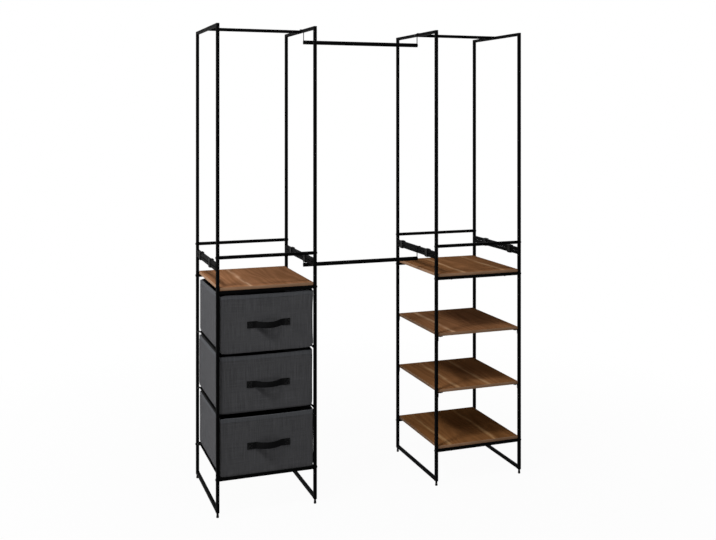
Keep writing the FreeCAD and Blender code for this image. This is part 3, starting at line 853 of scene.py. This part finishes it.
# How far the rim sinks between its corners and at them. A side that sinks less than nothing rises.
front_dip = {"top_drawer": 5.5 * MM, "middle_drawer": 5.5 * MM, "bottom_drawer": 3.5 * MM}
side_dip = {"top_drawer": 2.0 * MM, "middle_drawer": 0.0 * MM, "bottom_drawer": -2.5 * MM}
corner_drop = {"top_drawer": 11.0 * MM, "middle_drawer": 7.0 * MM, "bottom_drawer": 4.0 * MM}
# How far the floor's front corners rise, and how far a corner's moves reach.
corner_lift = 5.0 * MM
corner_reach = 20.0 * MM
# Ripples of the cloth.
wrinkle = 1.1 * MM
wrinkles_per_metre = 11
# Bands in which a rule acts, as shares of the bin's half width, half depth or height.
wall_band = 0.14
rim_band = 0.45
foot_band = 0.12
hang_band = 0.4
# How much of a move is left at its weak end.
rear_dip_share = 0.4
pinch_share = 0.7
front_roll_share = 0.35
print("hem height:", round(hem_height / MM, 1), "mm")

# %% [markdown]
# The rule works with shares of the bin: across and along run from -1 to 1 between its walls, and share
# runs from 0 at the floor to 1 at the rim. Each wall moves only in the band next to it. It is pinched,
# bowed and rippled most at half height, rolls in at its foot, and sinks at its rim. A cloth simulation
# could do this too, but a rule gives the same shape each time, and stitches can ask it where the cloth
# went.


# %% Shape of a drawer bin
def limit(value, low=0.0, high=1.0):
    return min(max(value, low), high)


class DrawerShape:
    """Box of one drawer's bin, and the rule that moves its points."""

    def __init__(self, name):
        self.name = name
        self.corner = bin_corner[name]
        low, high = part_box(name + "_bin")
        left, right, front, rear = (reach * MM for reach in cloth_reach[name])
        self.low = low - Vector((left, front, 0))
        self.high = high + Vector((right, rear, 0))
        self.size = self.high - self.low
        self.middle = (self.low + self.high) / 2
        self.seed = Vector((len(name) * 1.7, len(name) * 0.9, self.low.z * 11))

    def sag(self, point):
        across = (point.x - self.middle.x) / (self.size.x / 2)
        along = (point.y - self.middle.y) / (self.size.y / 2)
        share = (point.z - self.low.z) / self.size.z
        belly = math.sin(math.pi * limit(share))
        near_side = limit((abs(across) - 1 + wall_band) / wall_band)
        near_end = limit((abs(along) - 1 + wall_band) / wall_band)
        from_corner = Vector((self.size.x / 2 * (1 - abs(across)), self.size.y / 2 * (1 - abs(along))))
        corner = max(1 - from_corner.length / corner_reach, 0) ** 2
        top = limit((share - 1 + rim_band) / rim_band) ** 2
        bottom = limit((foot_band - share) / foot_band)
        ripple = noise.noise(point * wrinkles_per_metre + self.seed) * wrinkle * belly
        moved = point.copy()
        pinch = left_pinch[self.name] if across < 0 else right_pinch[self.name]
        inward = max(ripple, 0) if pinch else 0
        inward += pinch * (pinch_share + (1 - pinch_share) * (1 - along ** 2)) * belly
        height = limit((point.z - self.low.z) / roll_height)
        roll = 1 - math.sqrt(1 - (1 - height) ** 2)
        inward += roll * roll_side * limit((point.y - self.low.y) / square_front, front_roll_share)
        moved.x -= math.copysign(inward * near_side, across)
        bow = wall_bow[self.name] * (1 - across ** 2) * belly + ripple
        moved.y -= math.copysign((bow + roll * roll_front) * near_end, along)
        front = near_end if along < 0 else rear_dip_share * near_end
        moved.z -= top * front * front_dip[self.name] * (1 - across ** 4)
        moved.z -= top * near_side * side_dip[self.name] * (1 - along ** 4)
        moved.z -= top * corner * corner_drop[self.name]
        moved.z += bottom * corner * corner_lift * (along < 0)
        at_front = max(1 - (point.y - self.low.y) / front_fold, 0)
        moved.z -= front_hang[self.name] * at_front * limit(1 - share / hang_band)
        return moved


drawer_shapes = {name: DrawerShape(name) for name in bin_corner}
print("drawer shapes:", len(drawer_shapes))

# %% [markdown]
# A hem and its stitches run round the bin, so they need to know where a given distance along its outline
# leads to. The outline is four straight sides and four quarter circles, so a walk along them finds the
# place and the way out of the bin there. It starts at the front left corner and turns to the right.


# %% Walk round a drawer bin
def outline_length(shape):
    straight_x = shape.size.x - 2 * shape.corner
    straight_y = shape.size.y - 2 * shape.corner
    arc = math.pi / 2 * shape.corner
    return 2 * (straight_x + straight_y) + 4 * arc


def rim_point(shape, distance):
    """Point at a distance along the outline before it sags, and the way out of the bin there."""
    half_x = shape.size.x / 2 - shape.corner
    half_y = shape.size.y / 2 - shape.corner
    arc = math.pi / 2 * shape.corner
    left = distance % outline_length(shape)
    centres = [(half_x, -half_y), (half_x, half_y), (-half_x, half_y), (-half_x, -half_y)]
    starts = [(-half_x, -half_y), (half_x, -half_y), (half_x, half_y), (-half_x, half_y)]
    for turn in range(4):
        out = Vector((math.sin(turn * math.pi / 2), -math.cos(turn * math.pi / 2), 0))
        ahead = Vector((math.cos(turn * math.pi / 2), math.sin(turn * math.pi / 2), 0))
        straight = 2 * half_x if turn % 2 == 0 else 2 * half_y
        if left <= straight:
            spot = Vector((*starts[turn], 0)) + ahead * left + out * shape.corner
            return shape.middle + spot, out
        left -= straight
        if left <= arc:
            way = out * math.cos(left / shape.corner) + ahead * math.sin(left / shape.corner)
            return shape.middle + Vector((*centres[turn], 0)) + way * shape.corner, way
        left -= arc
    return rim_point(shape, 0)


print("rim length:", round(outline_length(drawer_shapes["top_drawer"]), 3), "m")

# %% [markdown]
# The walls are raised from the straight outline of the floor. Each row is extruded from the one below it,
# and the rows lie closer at the foot and at the hem, where the cloth bends most. A cube that is cut evenly
# would need far more rows to bend as well. The floor is filled in last and inset, so its corners stay
# round.


# %% Raised walls
def raised_wall(shape):
    mesh = bmesh.new()
    bmesh.ops.create_grid(mesh, x_segments=1, y_segments=1, size=0.5)
    bmesh.ops.scale(mesh, vec=(shape.size.x, shape.size.y, 1), verts=mesh.verts)
    bmesh.ops.translate(mesh, vec=(shape.middle.x, shape.middle.y, shape.low.z), verts=mesh.verts)
    round_corners(mesh, mesh.verts[:], shape.corner, 5)
    bmesh.ops.delete(mesh, geom=mesh.faces[:], context="FACES_ONLY")
    straight = [edge for edge in mesh.edges if edge.calc_length() > 4 * shape.corner]
    bmesh.ops.subdivide_edges(mesh, edges=straight, cuts=15)
    rim = mesh.edges[:]
    floor_edges = mesh.edges[:]
    heights = [share * shape.size.z for share in row_shares]
    heights += [shape.size.z - hem_height, shape.size.z - hem_height / 2, shape.size.z]
    base = 0.0
    for height in sorted(set(heights)):
        _, rim = pull_rim(mesh, rim, (0, 0, height - base))
        base = height
    floor_face = bmesh.ops.contextual_create(mesh, geom=floor_edges)["faces"]
    bmesh.ops.inset_region(mesh, faces=floor_face, thickness=0.6 * shape.corner)
    bmesh.ops.recalc_face_normals(mesh, faces=mesh.faces)
    front = min(mesh.faces, key=lambda face: face.calc_center_median().y)
    if front.normal.y > 0:
        bmesh.ops.reverse_faces(mesh, faces=mesh.faces)
    return mesh


print("wall rows:", len(row_shares) + 3)

# %% [markdown]
# The cloth's coordinates follow the wall: the distance round the bin and the height, both in metres, so
# the threads stay upright on every side. An unwrap by angle would do this too, but it turns and scales
# the pieces as it likes. The coordinates are set before the sag, while the walls are still straight.


# %% Cloth on the walls
def distance_round(shape, point):
    """Distance of an outline point from the start of the front, walked to the right round the bin."""
    half_x = shape.size.x / 2 - shape.corner
    half_y = shape.size.y / 2 - shape.corner
    x = point.x - shape.middle.x
    y = point.y - shape.middle.y
    centre_x = limit(x, -half_x, half_x)
    centre_y = limit(y, -half_y, half_y)
    angle = math.atan2(x - centre_x, centre_y - y) % math.tau
    if angle > math.tau - 0.001:
        angle = 0.0
    straights = [half_x + centre_x, 2 * half_x + half_y + centre_y]
    straights += [3 * half_x + 2 * half_y - centre_x, 4 * half_x + 3 * half_y - centre_y]
    return straights[min(round(angle / (math.pi / 2)), 3)] + angle * shape.corner


def lay_cloth(mesh, shape):
    cloth = mesh.loops.layers.uv.new("cloth")
    rounds = {}
    for point in mesh.verts:
        key = (round(point.co.x, 5), round(point.co.y, 5))
        if key not in rounds:
            rounds[key] = distance_round(shape, point.co)
    total = outline_length(shape)
    for face in mesh.faces:
        if abs(face.normal.z) > 0.7:
            for loop in face.loops:
                loop[cloth].uv = (loop.vert.co.x, loop.vert.co.y)
            continue
        places = [rounds[(round(loop.vert.co.x, 5), round(loop.vert.co.y, 5))] for loop in face.loops]
        wraps = max(places) - min(places) > total / 2
        for loop, place in zip(face.loops, places):
            if wraps and place < total / 2:
                place += total
            loop[cloth].uv = (place, loop.vert.co.z)


print("cloth helpers ready")

# %% [markdown]
# The hem is a copy of the top rows of the wall, thickened on both sides of it as a folded strip is. It
# stands a little proud of the wall, so that its lower edge draws the line that shows it is a separate
# strip.

# %% Drawer bins and hems
hem_thickness = 4.2 * MM
hem_proud = 0.5 * MM
hem_rise = 0.6 * MM
hem_soft = 0.7 * MM


def drawer_bin(name):
    shape = drawer_shapes[name]
    mesh = raised_wall(shape)
    lay_cloth(mesh, shape)
    hem_base = shape.high.z - hem_height
    strip = mesh.copy()
    for point in mesh.verts:
        point.co = shape.sag(point.co)

    below = [face for face in strip.faces if face.calc_center_median().z < hem_base]
    bmesh.ops.delete(strip, geom=below, context="FACES")
    for point in strip.verts:
        on_rim = point.co.z > shape.high.z - 1 * MM
        point.co = shape.sag(point.co)
        if on_rim:
            point.co.z += hem_rise

    cloths = [charcoal_linen, spunbond]
    wall = finish_piece(name + "_cloth_bin", mesh, name, cloths, [name + "_bin"])
    subdivide(wall, 2)
    thicken(wall, bin_wall, -1.0, 1)
    hem = finish_piece(name + "_hem", strip, name, [hem_tape])
    subdivide(hem, 2)
    thicken(hem, hem_thickness, 2 * hem_proud / hem_thickness - 1)
    soften(hem, hem_soft, 2)
    return wall, hem


drawer_cloth = {name: drawer_bin(name) for name in drawer_shapes}
bpy.context.view_layer.update()
print("drawers:", len(drawer_cloth))

# %% [markdown]
# Stitches are small, and a hundred of them in a row are what makes a hem look sewn. Each is a stretched
# ball with few faces that lies on the cloth. A ray that is sent at the finished surface finds where the
# cloth is, so the stitches follow every bow and dip.

# %% Helpers for sewing
ray_reach = 30 * MM


def surface_of(piece):
    return BVHTree.FromObject(piece, bpy.context.evaluated_depsgraph_get())


def add_stitch(mesh, place, along, out, length, thickness):
    side = out.cross(along).normalized()
    axes_of_stitch = Matrix((along * length / 2, side * thickness / 2, out * thickness / 2)).transposed()
    frame_of_stitch = axes_of_stitch.to_4x4()
    frame_of_stitch.translation = place
    bmesh.ops.create_icosphere(mesh, subdivisions=1, radius=1.0, matrix=frame_of_stitch)


def touch(surface, start, way):
    """Where a ray meets a surface, and the surface's way out there."""
    place, out, _, _ = surface.ray_cast(start, way)
    return place, out


print("sewing helpers ready")

# %% [markdown]
# One row of stitches runs round each hem, a little above its lower edge. The stitches sink into the cloth
# as pulled thread does, which also leaves the drawers room to slide between the posts.

# %% Hem stitches
stitch_pitch = 5.2 * MM
stitch_length = 3.7 * MM
stitch_thickness = 0.75 * MM
stitch_sink = 0.2 * MM
stitch_line = 4.0 * MM


def sew_hem(name):
    shape = drawer_shapes[name]
    surface = surface_of(drawer_cloth[name][1])
    mesh = bmesh.new()
    count = int(outline_length(shape) / stitch_pitch)
    z_seam = shape.high.z - hem_height + stitch_line
    for step in range(count):
        spot, out = rim_point(shape, (step + 0.5) * outline_length(shape) / count)
        spot = shape.sag(Vector((spot.x, spot.y, z_seam)))
        place, normal = touch(surface, spot + out * ray_reach, -out)
        if place is None:
            continue
        along = Vector((0, 0, 1)).cross(out).normalized()
        add_stitch(mesh, place - normal * stitch_sink, along, normal, stitch_length, stitch_thickness)
    return finish_piece(name + "_hem_stitches", mesh, name, [sewing_thread])


print("stitches on a hem:", int(outline_length(drawer_shapes["top_drawer"]) / stitch_pitch))

# %% [markdown]
# The walls of a bin are sewn together near its corners, and the turned edges make a thin rolled seam. A
# curve that is laid on the cloth and given a round section is the shortest way to such a cord, and it is
# made a mesh at once.


# %% Round cords
def cord_mesh(name, lines, radius):
    """Mesh of round cords, each along a line of places."""
    curve = bpy.data.curves.new(name, "CURVE")
    curve.dimensions = "3D"
    curve.bevel_depth = radius
    curve.bevel_resolution = 2
    curve.use_fill_caps = True
    for places in lines:
        line = curve.splines.new("POLY")
        line.points.add(len(places) - 1)
        for point, place in zip(line.points, places):
            point.co = (*place, 1.0)
    holder = bpy.data.objects.new(name, curve)
    scene.collection.objects.link(holder)
    bpy.context.view_layer.update()
    shown = holder.evaluated_get(bpy.context.evaluated_depsgraph_get())
    mesh = bmesh.new()
    mesh.from_mesh(bpy.data.meshes.new_from_object(shown))
    bpy.data.objects.remove(holder)
    return mesh


print("cord helper ready")

# %% [markdown]
# Each bin has four such seams, one at each corner, from just above its floor to just below its hem. The
# same rays that place the stitches lay the seams on the cloth, so they bow with it.

# %% Corner seams
seam_radius = 0.85 * MM
seam_lift = 0.15 * MM
seam_foot = 7 * MM
seam_head = 1 * MM
seam_rows = 26
seam_share = 0.15


def corner_seams(name):
    shape = drawer_shapes[name]
    surface = surface_of(drawer_cloth[name][0])
    straight_x = shape.size.x - 2 * shape.corner
    straight_y = shape.size.y - 2 * shape.corner
    arc = math.pi / 2 * shape.corner
    half_way = straight_x + arc + straight_y + arc
    corners = [straight_x + arc * (1 - seam_share), straight_x + arc + straight_y + arc * seam_share]
    corners += [half_way + straight_x + arc * (1 - seam_share), outline_length(shape) - arc * seam_share]
    z_low = shape.low.z + seam_foot
    z_high = shape.high.z - hem_height - seam_head
    lines = []
    for distance in corners:
        places = []
        for row in range(seam_rows + 1):
            spot, out = rim_point(shape, distance)
            spot = shape.sag(Vector((spot.x, spot.y, z_low + (z_high - z_low) * row / seam_rows)))
            place, normal = touch(surface, spot + out * ray_reach, -out)
            if place is not None:
                places.append(place + normal * seam_lift)
        lines.append(places)
    mesh = cord_mesh(name + "_seam_line", lines, seam_radius)
    cloth = mesh.loops.layers.uv.verify()
    for face in mesh.faces:
        for loop in face.loops:
            loop[cloth].uv = (loop.vert.co.x + loop.vert.co.y, loop.vert.co.z)
    return finish_piece(name + "_corner_seams", mesh, name, [charcoal_linen])


for name in drawer_shapes:
    sew_hem(name)
    corner_seams(name)
print("hem stitches and seams on", len(drawer_shapes), "drawers")

# %% [markdown]
# Each handle is a strip of webbing sewn flat at both ends. Between them it stands off the front, sags,
# and its edges curl back, which makes it look narrower. Webbing is soft, so no two of the three hang alike.

# %% Sizes of the handles
strap_thickness = 1.5 * MM
strap_soft = 0.45 * MM
strap_gap = 0.3 * MM
strap_end = 22.0 * MM
strap_width = 24.5 * MM
strap_sewn = 34.0 * MM
strap_narrow = {"top_drawer": 1.8 * MM, "middle_drawer": 4.0 * MM, "bottom_drawer": 0.5 * MM}
strap_sag = {"top_drawer": 3.0 * MM, "middle_drawer": 1.0 * MM, "bottom_drawer": 0.0 * MM}
strap_bow = 20.0 * MM
strap_curl = 1.0 * MM
# How far each handle's left and right ends lie below the solid's.
strap_drop = {
    "top_drawer": (3.0 * MM, 0.5 * MM),
    "middle_drawer": (-1.4 * MM, 0.0 * MM),
    "bottom_drawer": (-2.6 * MM, -2.2 * MM),
}
print("strap width:", round(strap_width / MM, 1), "mm")

# %% [markdown]
# A grid that is bent by one rule gives the strip. Its distance from the front is measured from the cloth
# behind it, by a ray for each point, so the sewn ends lie flat on a front that bows.


# %% Webbing handles
def webbing_handle(name):
    low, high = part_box(name + "_handle")
    surface = surface_of(drawer_cloth[name][0])
    middle_x = (low.x + high.x) / 2
    half_length = (high.x - low.x) / 2
    middle_z = high.z - strap_end / 2
    bend = half_length - strap_sewn
    mesh = bmesh.new()
    bmesh.ops.create_grid(mesh, x_segments=60, y_segments=8, size=0.5)
    web = mesh.loops.layers.uv.new("web")
    for face in mesh.faces:
        for loop in face.loops:
            loop[web].uv = (loop.vert.co.x * 2 * half_length, loop.vert.co.y * strap_width)
    for point in mesh.verts:
        x = point.co.x * 2 * half_length
        share = point.co.y * 2
        loose = max(1 - (x / bend) ** 2, 0)
        width = strap_width - strap_narrow[name] * loose
        from_left = point.co.x + 0.5
        drop = strap_drop[name][0] * (1 - from_left) + strap_drop[name][1] * from_left
        z = middle_z - drop - strap_sag[name] * loose + share * width / 2
        place, _ = touch(surface, Vector((middle_x + x, low.y - ray_reach, z)), Vector((0, 1, 0)))
        stand = strap_gap + strap_bow * loose - strap_curl * loose * share ** 2
        point.co = Vector((middle_x + x, place.y - stand, z))
    bmesh.ops.recalc_face_normals(mesh, faces=mesh.faces)
    if sum(face.normal.y for face in mesh.faces) > 0:
        bmesh.ops.reverse_faces(mesh, faces=mesh.faces)
    strap = finish_piece(name + "_webbing", mesh, name, [black_web], [name + "_handle"])
    thicken(strap, strap_thickness, 1.0)
    soften(strap, strap_soft, 2)
    subdivide(strap, 1)
    return strap


straps = {name: webbing_handle(name) for name in drawer_shapes}
bpy.context.view_layer.update()
print("handles:", len(straps))

# %% [markdown]
# Webbing that carries a load is sewn down with a box of stitches and a cross in it, because a single row
# would tear out. The six lines of that box are drawn as points, and each stitch is dropped onto the strap
# by a ray.

# %% Handle stitches
sewn_box = 8.0 * MM
sewn_pitch = 3.0 * MM
sewn_length = 2.3 * MM
sewn_thickness = 0.6 * MM
sewn_lift = 0.1 * MM


def sew_handle(name, strap):
    """A box of stitches with a cross in it, at each end of the strap."""
    low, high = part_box(name + "_handle")
    surface = surface_of(strap)
    middle_z = high.z - strap_end / 2
    corners = [Vector((x, y)) * sewn_box for x, y in ((-1, -1), (1, -1), (1, 1), (-1, 1))]
    lines = [(corners[turn], corners[(turn + 1) % 4]) for turn in range(4)]
    lines += [(corners[0], corners[2]), (corners[1], corners[3])]
    mesh = bmesh.new()
    ends = [(low.x + strap_end / 2, strap_drop[name][0]), (high.x - strap_end / 2, strap_drop[name][1])]
    for end_x, drop in ends:
        for start, end in lines:
            count = round((end - start).length / sewn_pitch)
            along = Vector((end.x - start.x, 0, end.y - start.y)).normalized()
            for step in range(count):
                spot = start.lerp(end, (step + 0.5) / count)
                ray_start = Vector((end_x + spot.x, low.y - ray_reach, middle_z - drop + spot.y))
                place, out = touch(surface, ray_start, Vector((0, 1, 0)))
                if place is not None:
                    add_stitch(mesh, place + out * sewn_lift, along, out, sewn_length, sewn_thickness)
    return finish_piece(name + "_handle_stitches", mesh, name, [black_thread])


for name, strap in straps.items():
    sew_handle(name, strap)
print("sewn handles:", len(straps))

# %% [markdown]
# The crossbars are held by dome headed bolts with a hex socket. A few points of the half outline, spun
# once round the axis, give the head and shank. The socket is a hexagon with as many points as the dome
# has, so the two rings can be bridged without odd triangles.

# %% Pattern of a dome headed bolt
bolt_steps = 24
bolt_head = 5.0 * MM
bolt_flat = 2.2 * MM
bolt_rise = 2.6 * MM
bolt_shank = 2.9 * MM
bolt_length = 30.0 * MM
bolt_tip = 1.0 * MM
socket_width = 1.7 * MM
socket_depth = 1.5 * MM


def hexagon_radius(angle, width):
    """Distance from the middle to a hexagon's side, in the direction of an angle."""
    part = math.radians(60)
    return width * math.cos(part / 2) / math.cos(angle % part - part / 2)


def bolt_pattern():
    """Bolt along -Z with the seat of its head at the origin and its dome above."""
    outline = [(bolt_flat, bolt_rise)]
    for step in range(1, 7):
        angle = math.radians(90 - 14 * step)
        outline.append((bolt_flat + (bolt_head - bolt_flat) * math.cos(angle), bolt_rise * math.sin(angle)))
    outline += [(bolt_head, 0.0), (bolt_shank, 0.0), (bolt_shank, -bolt_length + bolt_tip)]
    outline += [(bolt_shank - 0.8 * bolt_tip, -bolt_length), (0.0, -bolt_length)]
    mesh = bmesh.new()
    spin_outline(mesh, outline, bolt_steps)
    socket, rim = pull_rim(mesh, [edge for edge in mesh.edges if edge.is_boundary])
    for point in socket:
        angle = math.atan2(point.co.y, point.co.x)
        radius = hexagon_radius(angle, socket_width)
        point.co = Vector((radius * math.cos(angle), radius * math.sin(angle), bolt_rise))
    _, rim = pull_rim(mesh, rim, (0, 0, -socket_depth))
    bmesh.ops.contextual_create(mesh, geom=rim)
    bmesh.ops.recalc_face_normals(mesh, faces=mesh.faces)
    return as_pattern("bolt pattern", mesh)


print("bolt head:", round(2 * bolt_head / MM, 1), "mm across")

# %% [markdown]
# Each crossbar and top rod has a bolt at both ends, which passes through the post into the bar. The bars
# run from side to side, so the pattern is turned a quarter to the left or the right, and it is stamped at
# the outer side of the post, one tube's width past the end of the bar.


# %% Bolts of the frame
def frame_bolts():
    pattern = bolt_pattern()
    mesh = bmesh.new()
    bars = [name for name in nodes if name.endswith("_bar") or name.endswith("_top_rod")]
    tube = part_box(bars[0])[1].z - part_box(bars[0])[0].z
    for name in bars:
        low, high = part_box(name)
        centre = (low + high) / 2
        for sign, end in ((-1, low.x - tube), (1, high.x + tube)):
            turn = Matrix.Rotation(math.radians(90 * sign), 4, "Y")
            stamp(mesh, pattern, Matrix.Translation((end, centre.y, centre.z)) @ turn)
    print("bolts:", 2 * len(bars))
    return finish_piece("dome_bolts", mesh, "frame", [black_fixing], ["frame_bolts"])


frame_bolts()

# %% [markdown]
# A levelling foot is a round plastic pad on a threaded stud. The pad is spun from its half outline. The
# thread is one notch spun many turns while it climbs, which is how a lathe cuts it, and it shows when the
# foot is screwed out.

# %% Pattern of a levelling foot
foot_steps = 24
thread_pitch = 1.0 * MM
thread_depth = 0.32 * MM
thread_steps = 14


def foot_pattern(low, high):
    """Foot with the floor at z = 0. The pad takes material 0 and the stud material 1."""
    pad = (high.x - low.x) / 2
    height = high.z - low.z
    neck = 4.3 * MM
    neck_top = 17.7 * MM
    stud = bolt_shank
    outline = [(0.0, 0.0), (pad - 1.4 * MM, 0.0), (pad - 0.5 * MM, 0.3 * MM), (pad, 1.2 * MM)]
    outline += [(pad, 5.6 * MM), (pad - 0.2 * MM, 6.4 * MM), (pad - 0.45 * MM, 6.8 * MM)]
    outline += [(neck + 0.1 * MM, 7.0 * MM), (neck, 7.4 * MM), (neck, neck_top - 0.3 * MM)]
    outline += [(neck - 0.3 * MM, neck_top), (0.0, neck_top)]
    mesh = bmesh.new()
    spin_outline(mesh, outline, foot_steps)
    pad_faces = set(mesh.faces)

    turns = int((height - neck_top) / thread_pitch) - 1
    root = stud - thread_depth
    start = neck_top - 0.2 * MM
    shares = ((root, 0.0), (stud, 0.42), (stud, 0.58), (root, 1.0))
    notch, edges = chain(mesh, [(radius, 0, start + share * thread_pitch) for radius, share in shares])
    bmesh.ops.spin(mesh, geom=notch + edges, cent=(0, 0, 0), axis=(0, 0, 1), angle=math.tau * turns,
                   steps=thread_steps * turns, dvec=(0, 0, thread_pitch / thread_steps))
    threads = [point for point in mesh.verts if not any(face in pad_faces for face in point.link_faces)]
    bmesh.ops.remove_doubles(mesh, verts=threads, dist=1e-6)
    open_edges = [edge for edge in mesh.edges if edge.is_boundary]
    bmesh.ops.holes_fill(mesh, edges=open_edges, sides=0)
    for face in mesh.faces:
        face.material_index = 0 if face in pad_faces else 1
    bmesh.ops.recalc_face_normals(mesh, faces=mesh.faces)
    return as_pattern("foot pattern", mesh)


print("thread pitch:", round(thread_pitch / MM, 1), "mm")

# %% [markdown]
# Every foot turns on its own, so each is a piece that rides on a body of its own. One mesh for all eight
# would be shorter, but then they could only move together.

# %% Levelling feet
foot_nodes = [name for name in nodes if name.endswith("_foot")]
foot_mesh = foot_pattern(*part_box(foot_nodes[0]))
for name in foot_nodes:
    low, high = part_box(name)
    mesh = bmesh.new()
    stamp(mesh, foot_mesh, Matrix.Translation(((low.x + high.x) / 2, (low.y + high.y) / 2, low.z)))
    finishes = [black_moulding, black_fixing]
    finish_piece(name + "_levelling", mesh, name + "_body", finishes, [name])
print("feet:", len(foot_nodes))

# %% [markdown]
# A moulded clip wraps each pair of rails where two frames meet. It is a strip bent round the rails with a
# slit underneath, so an open outline is rounded at its corners, carried along the rail and thickened
# inwards. Its flat sides are inset, as mouldings are, to keep the wall even.

# %% Places of the stacking clips
clip_wall = 3.0 * MM
clip_corner = 3.0 * MM
clip_slit = 2.0 * MM
clip_panel = 2.6 * MM
clip_recess = 0.7 * MM
clip_edge = 0.3 * MM


def islands(node):
    """Boxes of the separate solids in one node."""
    mesh = bmesh.new()
    mesh.from_mesh(nodes[node].data)
    bmesh.ops.remove_doubles(mesh, verts=mesh.verts, dist=1e-6)
    left = set(mesh.verts)
    boxes = []
    while left:
        found = [left.pop()]
        for point in found:
            for edge in point.link_edges:
                other = edge.other_vert(point)
                if other in left:
                    left.remove(other)
                    found.append(other)
        low = Vector([min(point.co[axis] for point in found) for axis in range(3)])
        high = Vector([max(point.co[axis] for point in found) for axis in range(3)])
        boxes.append((low, high))
    mesh.free()
    return sorted(boxes, key=lambda box: tuple(round(value, 4) for value in box[0]))


clip_boxes = islands("stacking_clips")
print("clips found:", len(clip_boxes))

# %% [markdown]
# Each clip fills the box of its solid. The bevel at the end can push a corner out by a hair, so the
# points are held inside that box.


# %% Moulded clips
def stacking_clip(mesh, low, high):
    middle_x = (low.x + high.x) / 2
    places = [(middle_x + clip_slit / 2, low.z), (high.x, low.z), (high.x, high.z), (low.x, high.z)]
    places += [(low.x, low.z), (middle_x - clip_slit / 2, low.z)]
    piece = bmesh.new()
    points, _ = chain(piece, [(x, low.y, z) for x, z in places])
    round_corners(piece, points[1:5], clip_corner, 5)
    pull_rim(piece, piece.edges[:], (0, high.y - low.y, 0))
    bmesh.ops.recalc_face_normals(piece, faces=piece.faces)
    top = max(piece.faces, key=lambda face: face.calc_center_median().z)
    if top.normal.z < 0:
        bmesh.ops.reverse_faces(piece, faces=piece.faces)
    outer = piece.faces[:]
    bmesh.ops.solidify(piece, geom=outer, thickness=clip_wall)
    sides = [face for face in outer if face.is_valid and abs(face.normal.x) > 0.9]
    roofs = [face for face in outer if face.is_valid and face.normal.z > 0.9]
    for face in sides + roofs:
        bmesh.ops.inset_region(piece, faces=[face], thickness=clip_panel, depth=-clip_recess)
    bmesh.ops.recalc_face_normals(piece, faces=piece.faces)
    sharp = [edge for edge in piece.edges if edge.is_manifold and edge.calc_face_angle() > soften_angle]
    bevel_edges(piece, sharp, clip_edge, 2)
    for point in piece.verts:
        point.co = [limit(point.co[axis], low[axis], high[axis]) for axis in range(3)]
    stamp(mesh, as_pattern("clip pattern", piece), Matrix.Identity(4))


clip_mesh = bmesh.new()
for low, high in clip_boxes:
    stacking_clip(clip_mesh, low, high)
finish_piece("moulded_clips", clip_mesh, "frame", [black_moulding], ["stacking_clips"])
print("clips:", len(clip_boxes))

# %% [markdown]
# Rails are welded to the posts, and a weld leaves a small lumpy bead round the joint that the powder coat
# doesn't hide. A ring that is spun from a small circle is pushed out to the square of the tube, and its
# thickness swells and shrinks along the way, as a bead laid in drops does.

# %% Pattern of a weld bead
bead_radius = 1.15 * MM
bead_steps = 48
bead_drops = 22


def bead_pattern(half_width, squareness):
    """Bead round a square tube, in the XZ plane. A higher squareness gives sharper corners."""
    mesh = bmesh.new()
    start = Matrix.Translation((half_width, 0, 0)) @ Matrix.Rotation(math.pi, 4, "X")
    ring = bmesh.ops.create_circle(mesh, segments=8, radius=bead_radius, matrix=start)
    edges = list({edge for point in ring["verts"] for edge in point.link_edges})
    bmesh.ops.spin(mesh, geom=ring["verts"] + edges, cent=(0, 0, 0), axis=(0, 1, 0), angle=math.tau,
                   steps=bead_steps, use_merge=True)
    bmesh.ops.remove_doubles(mesh, verts=mesh.verts, dist=1e-7)
    for point in mesh.verts:
        angle = math.atan2(point.co.z, point.co.x)
        reach = math.hypot(point.co.x, point.co.z)
        lump = 1 + 0.16 * math.sin(bead_drops * angle) + 0.12 * math.sin(5 * angle + 1)
        power = abs(math.cos(angle)) ** squareness + abs(math.sin(angle)) ** squareness
        centre = half_width * power ** (-1 / squareness)
        reach = centre + (reach - half_width) * lump
        point.co = Vector((reach * math.cos(angle), point.co.y * lump, reach * math.sin(angle)))
    bmesh.ops.recalc_face_normals(mesh, faces=mesh.faces)
    return as_pattern("bead pattern", mesh)


print("bead radius:", round(bead_radius / MM, 2), "mm")

# %% [markdown]
# A lower frame has a rail at its bottom and one near its top. An upper frame gets beads at its lower rail
# only, because its top rail meets the posts in mitred corners, where a bead is ground flat. The two rails
# that lie on each other are set in a little from the joint, and the levels allow for that.

# %% Weld beads
rail_inset = 1.4 * MM


def weld_beads():
    bar_low, bar_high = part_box("left_tower_bottom_front_bar")
    tube = bar_high.z - bar_low.z
    pattern = bead_pattern(tube / 2, 9)
    mesh = bmesh.new()
    count = 0
    for name in nodes:
        if not name.endswith("_frame"):
            continue
        low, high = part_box(name)
        centre_x = (low.x + high.x) / 2
        if name.endswith("_lower_frame"):
            levels = [low.z + tube / 2, high.z - rail_inset - tube / 2]
        else:
            levels = [low.z + rail_inset + tube / 2]
        for level in levels:
            for y in (low.y + tube, high.y - tube):
                stamp(mesh, pattern, Matrix.Translation((centre_x, y, level)))
                count += 1
    print("weld beads:", count)
    return finish_piece("weld_beads", mesh, "frame", [powder_coat])


weld_beads()

# %% Update the scene
bpy.context.view_layer.update()
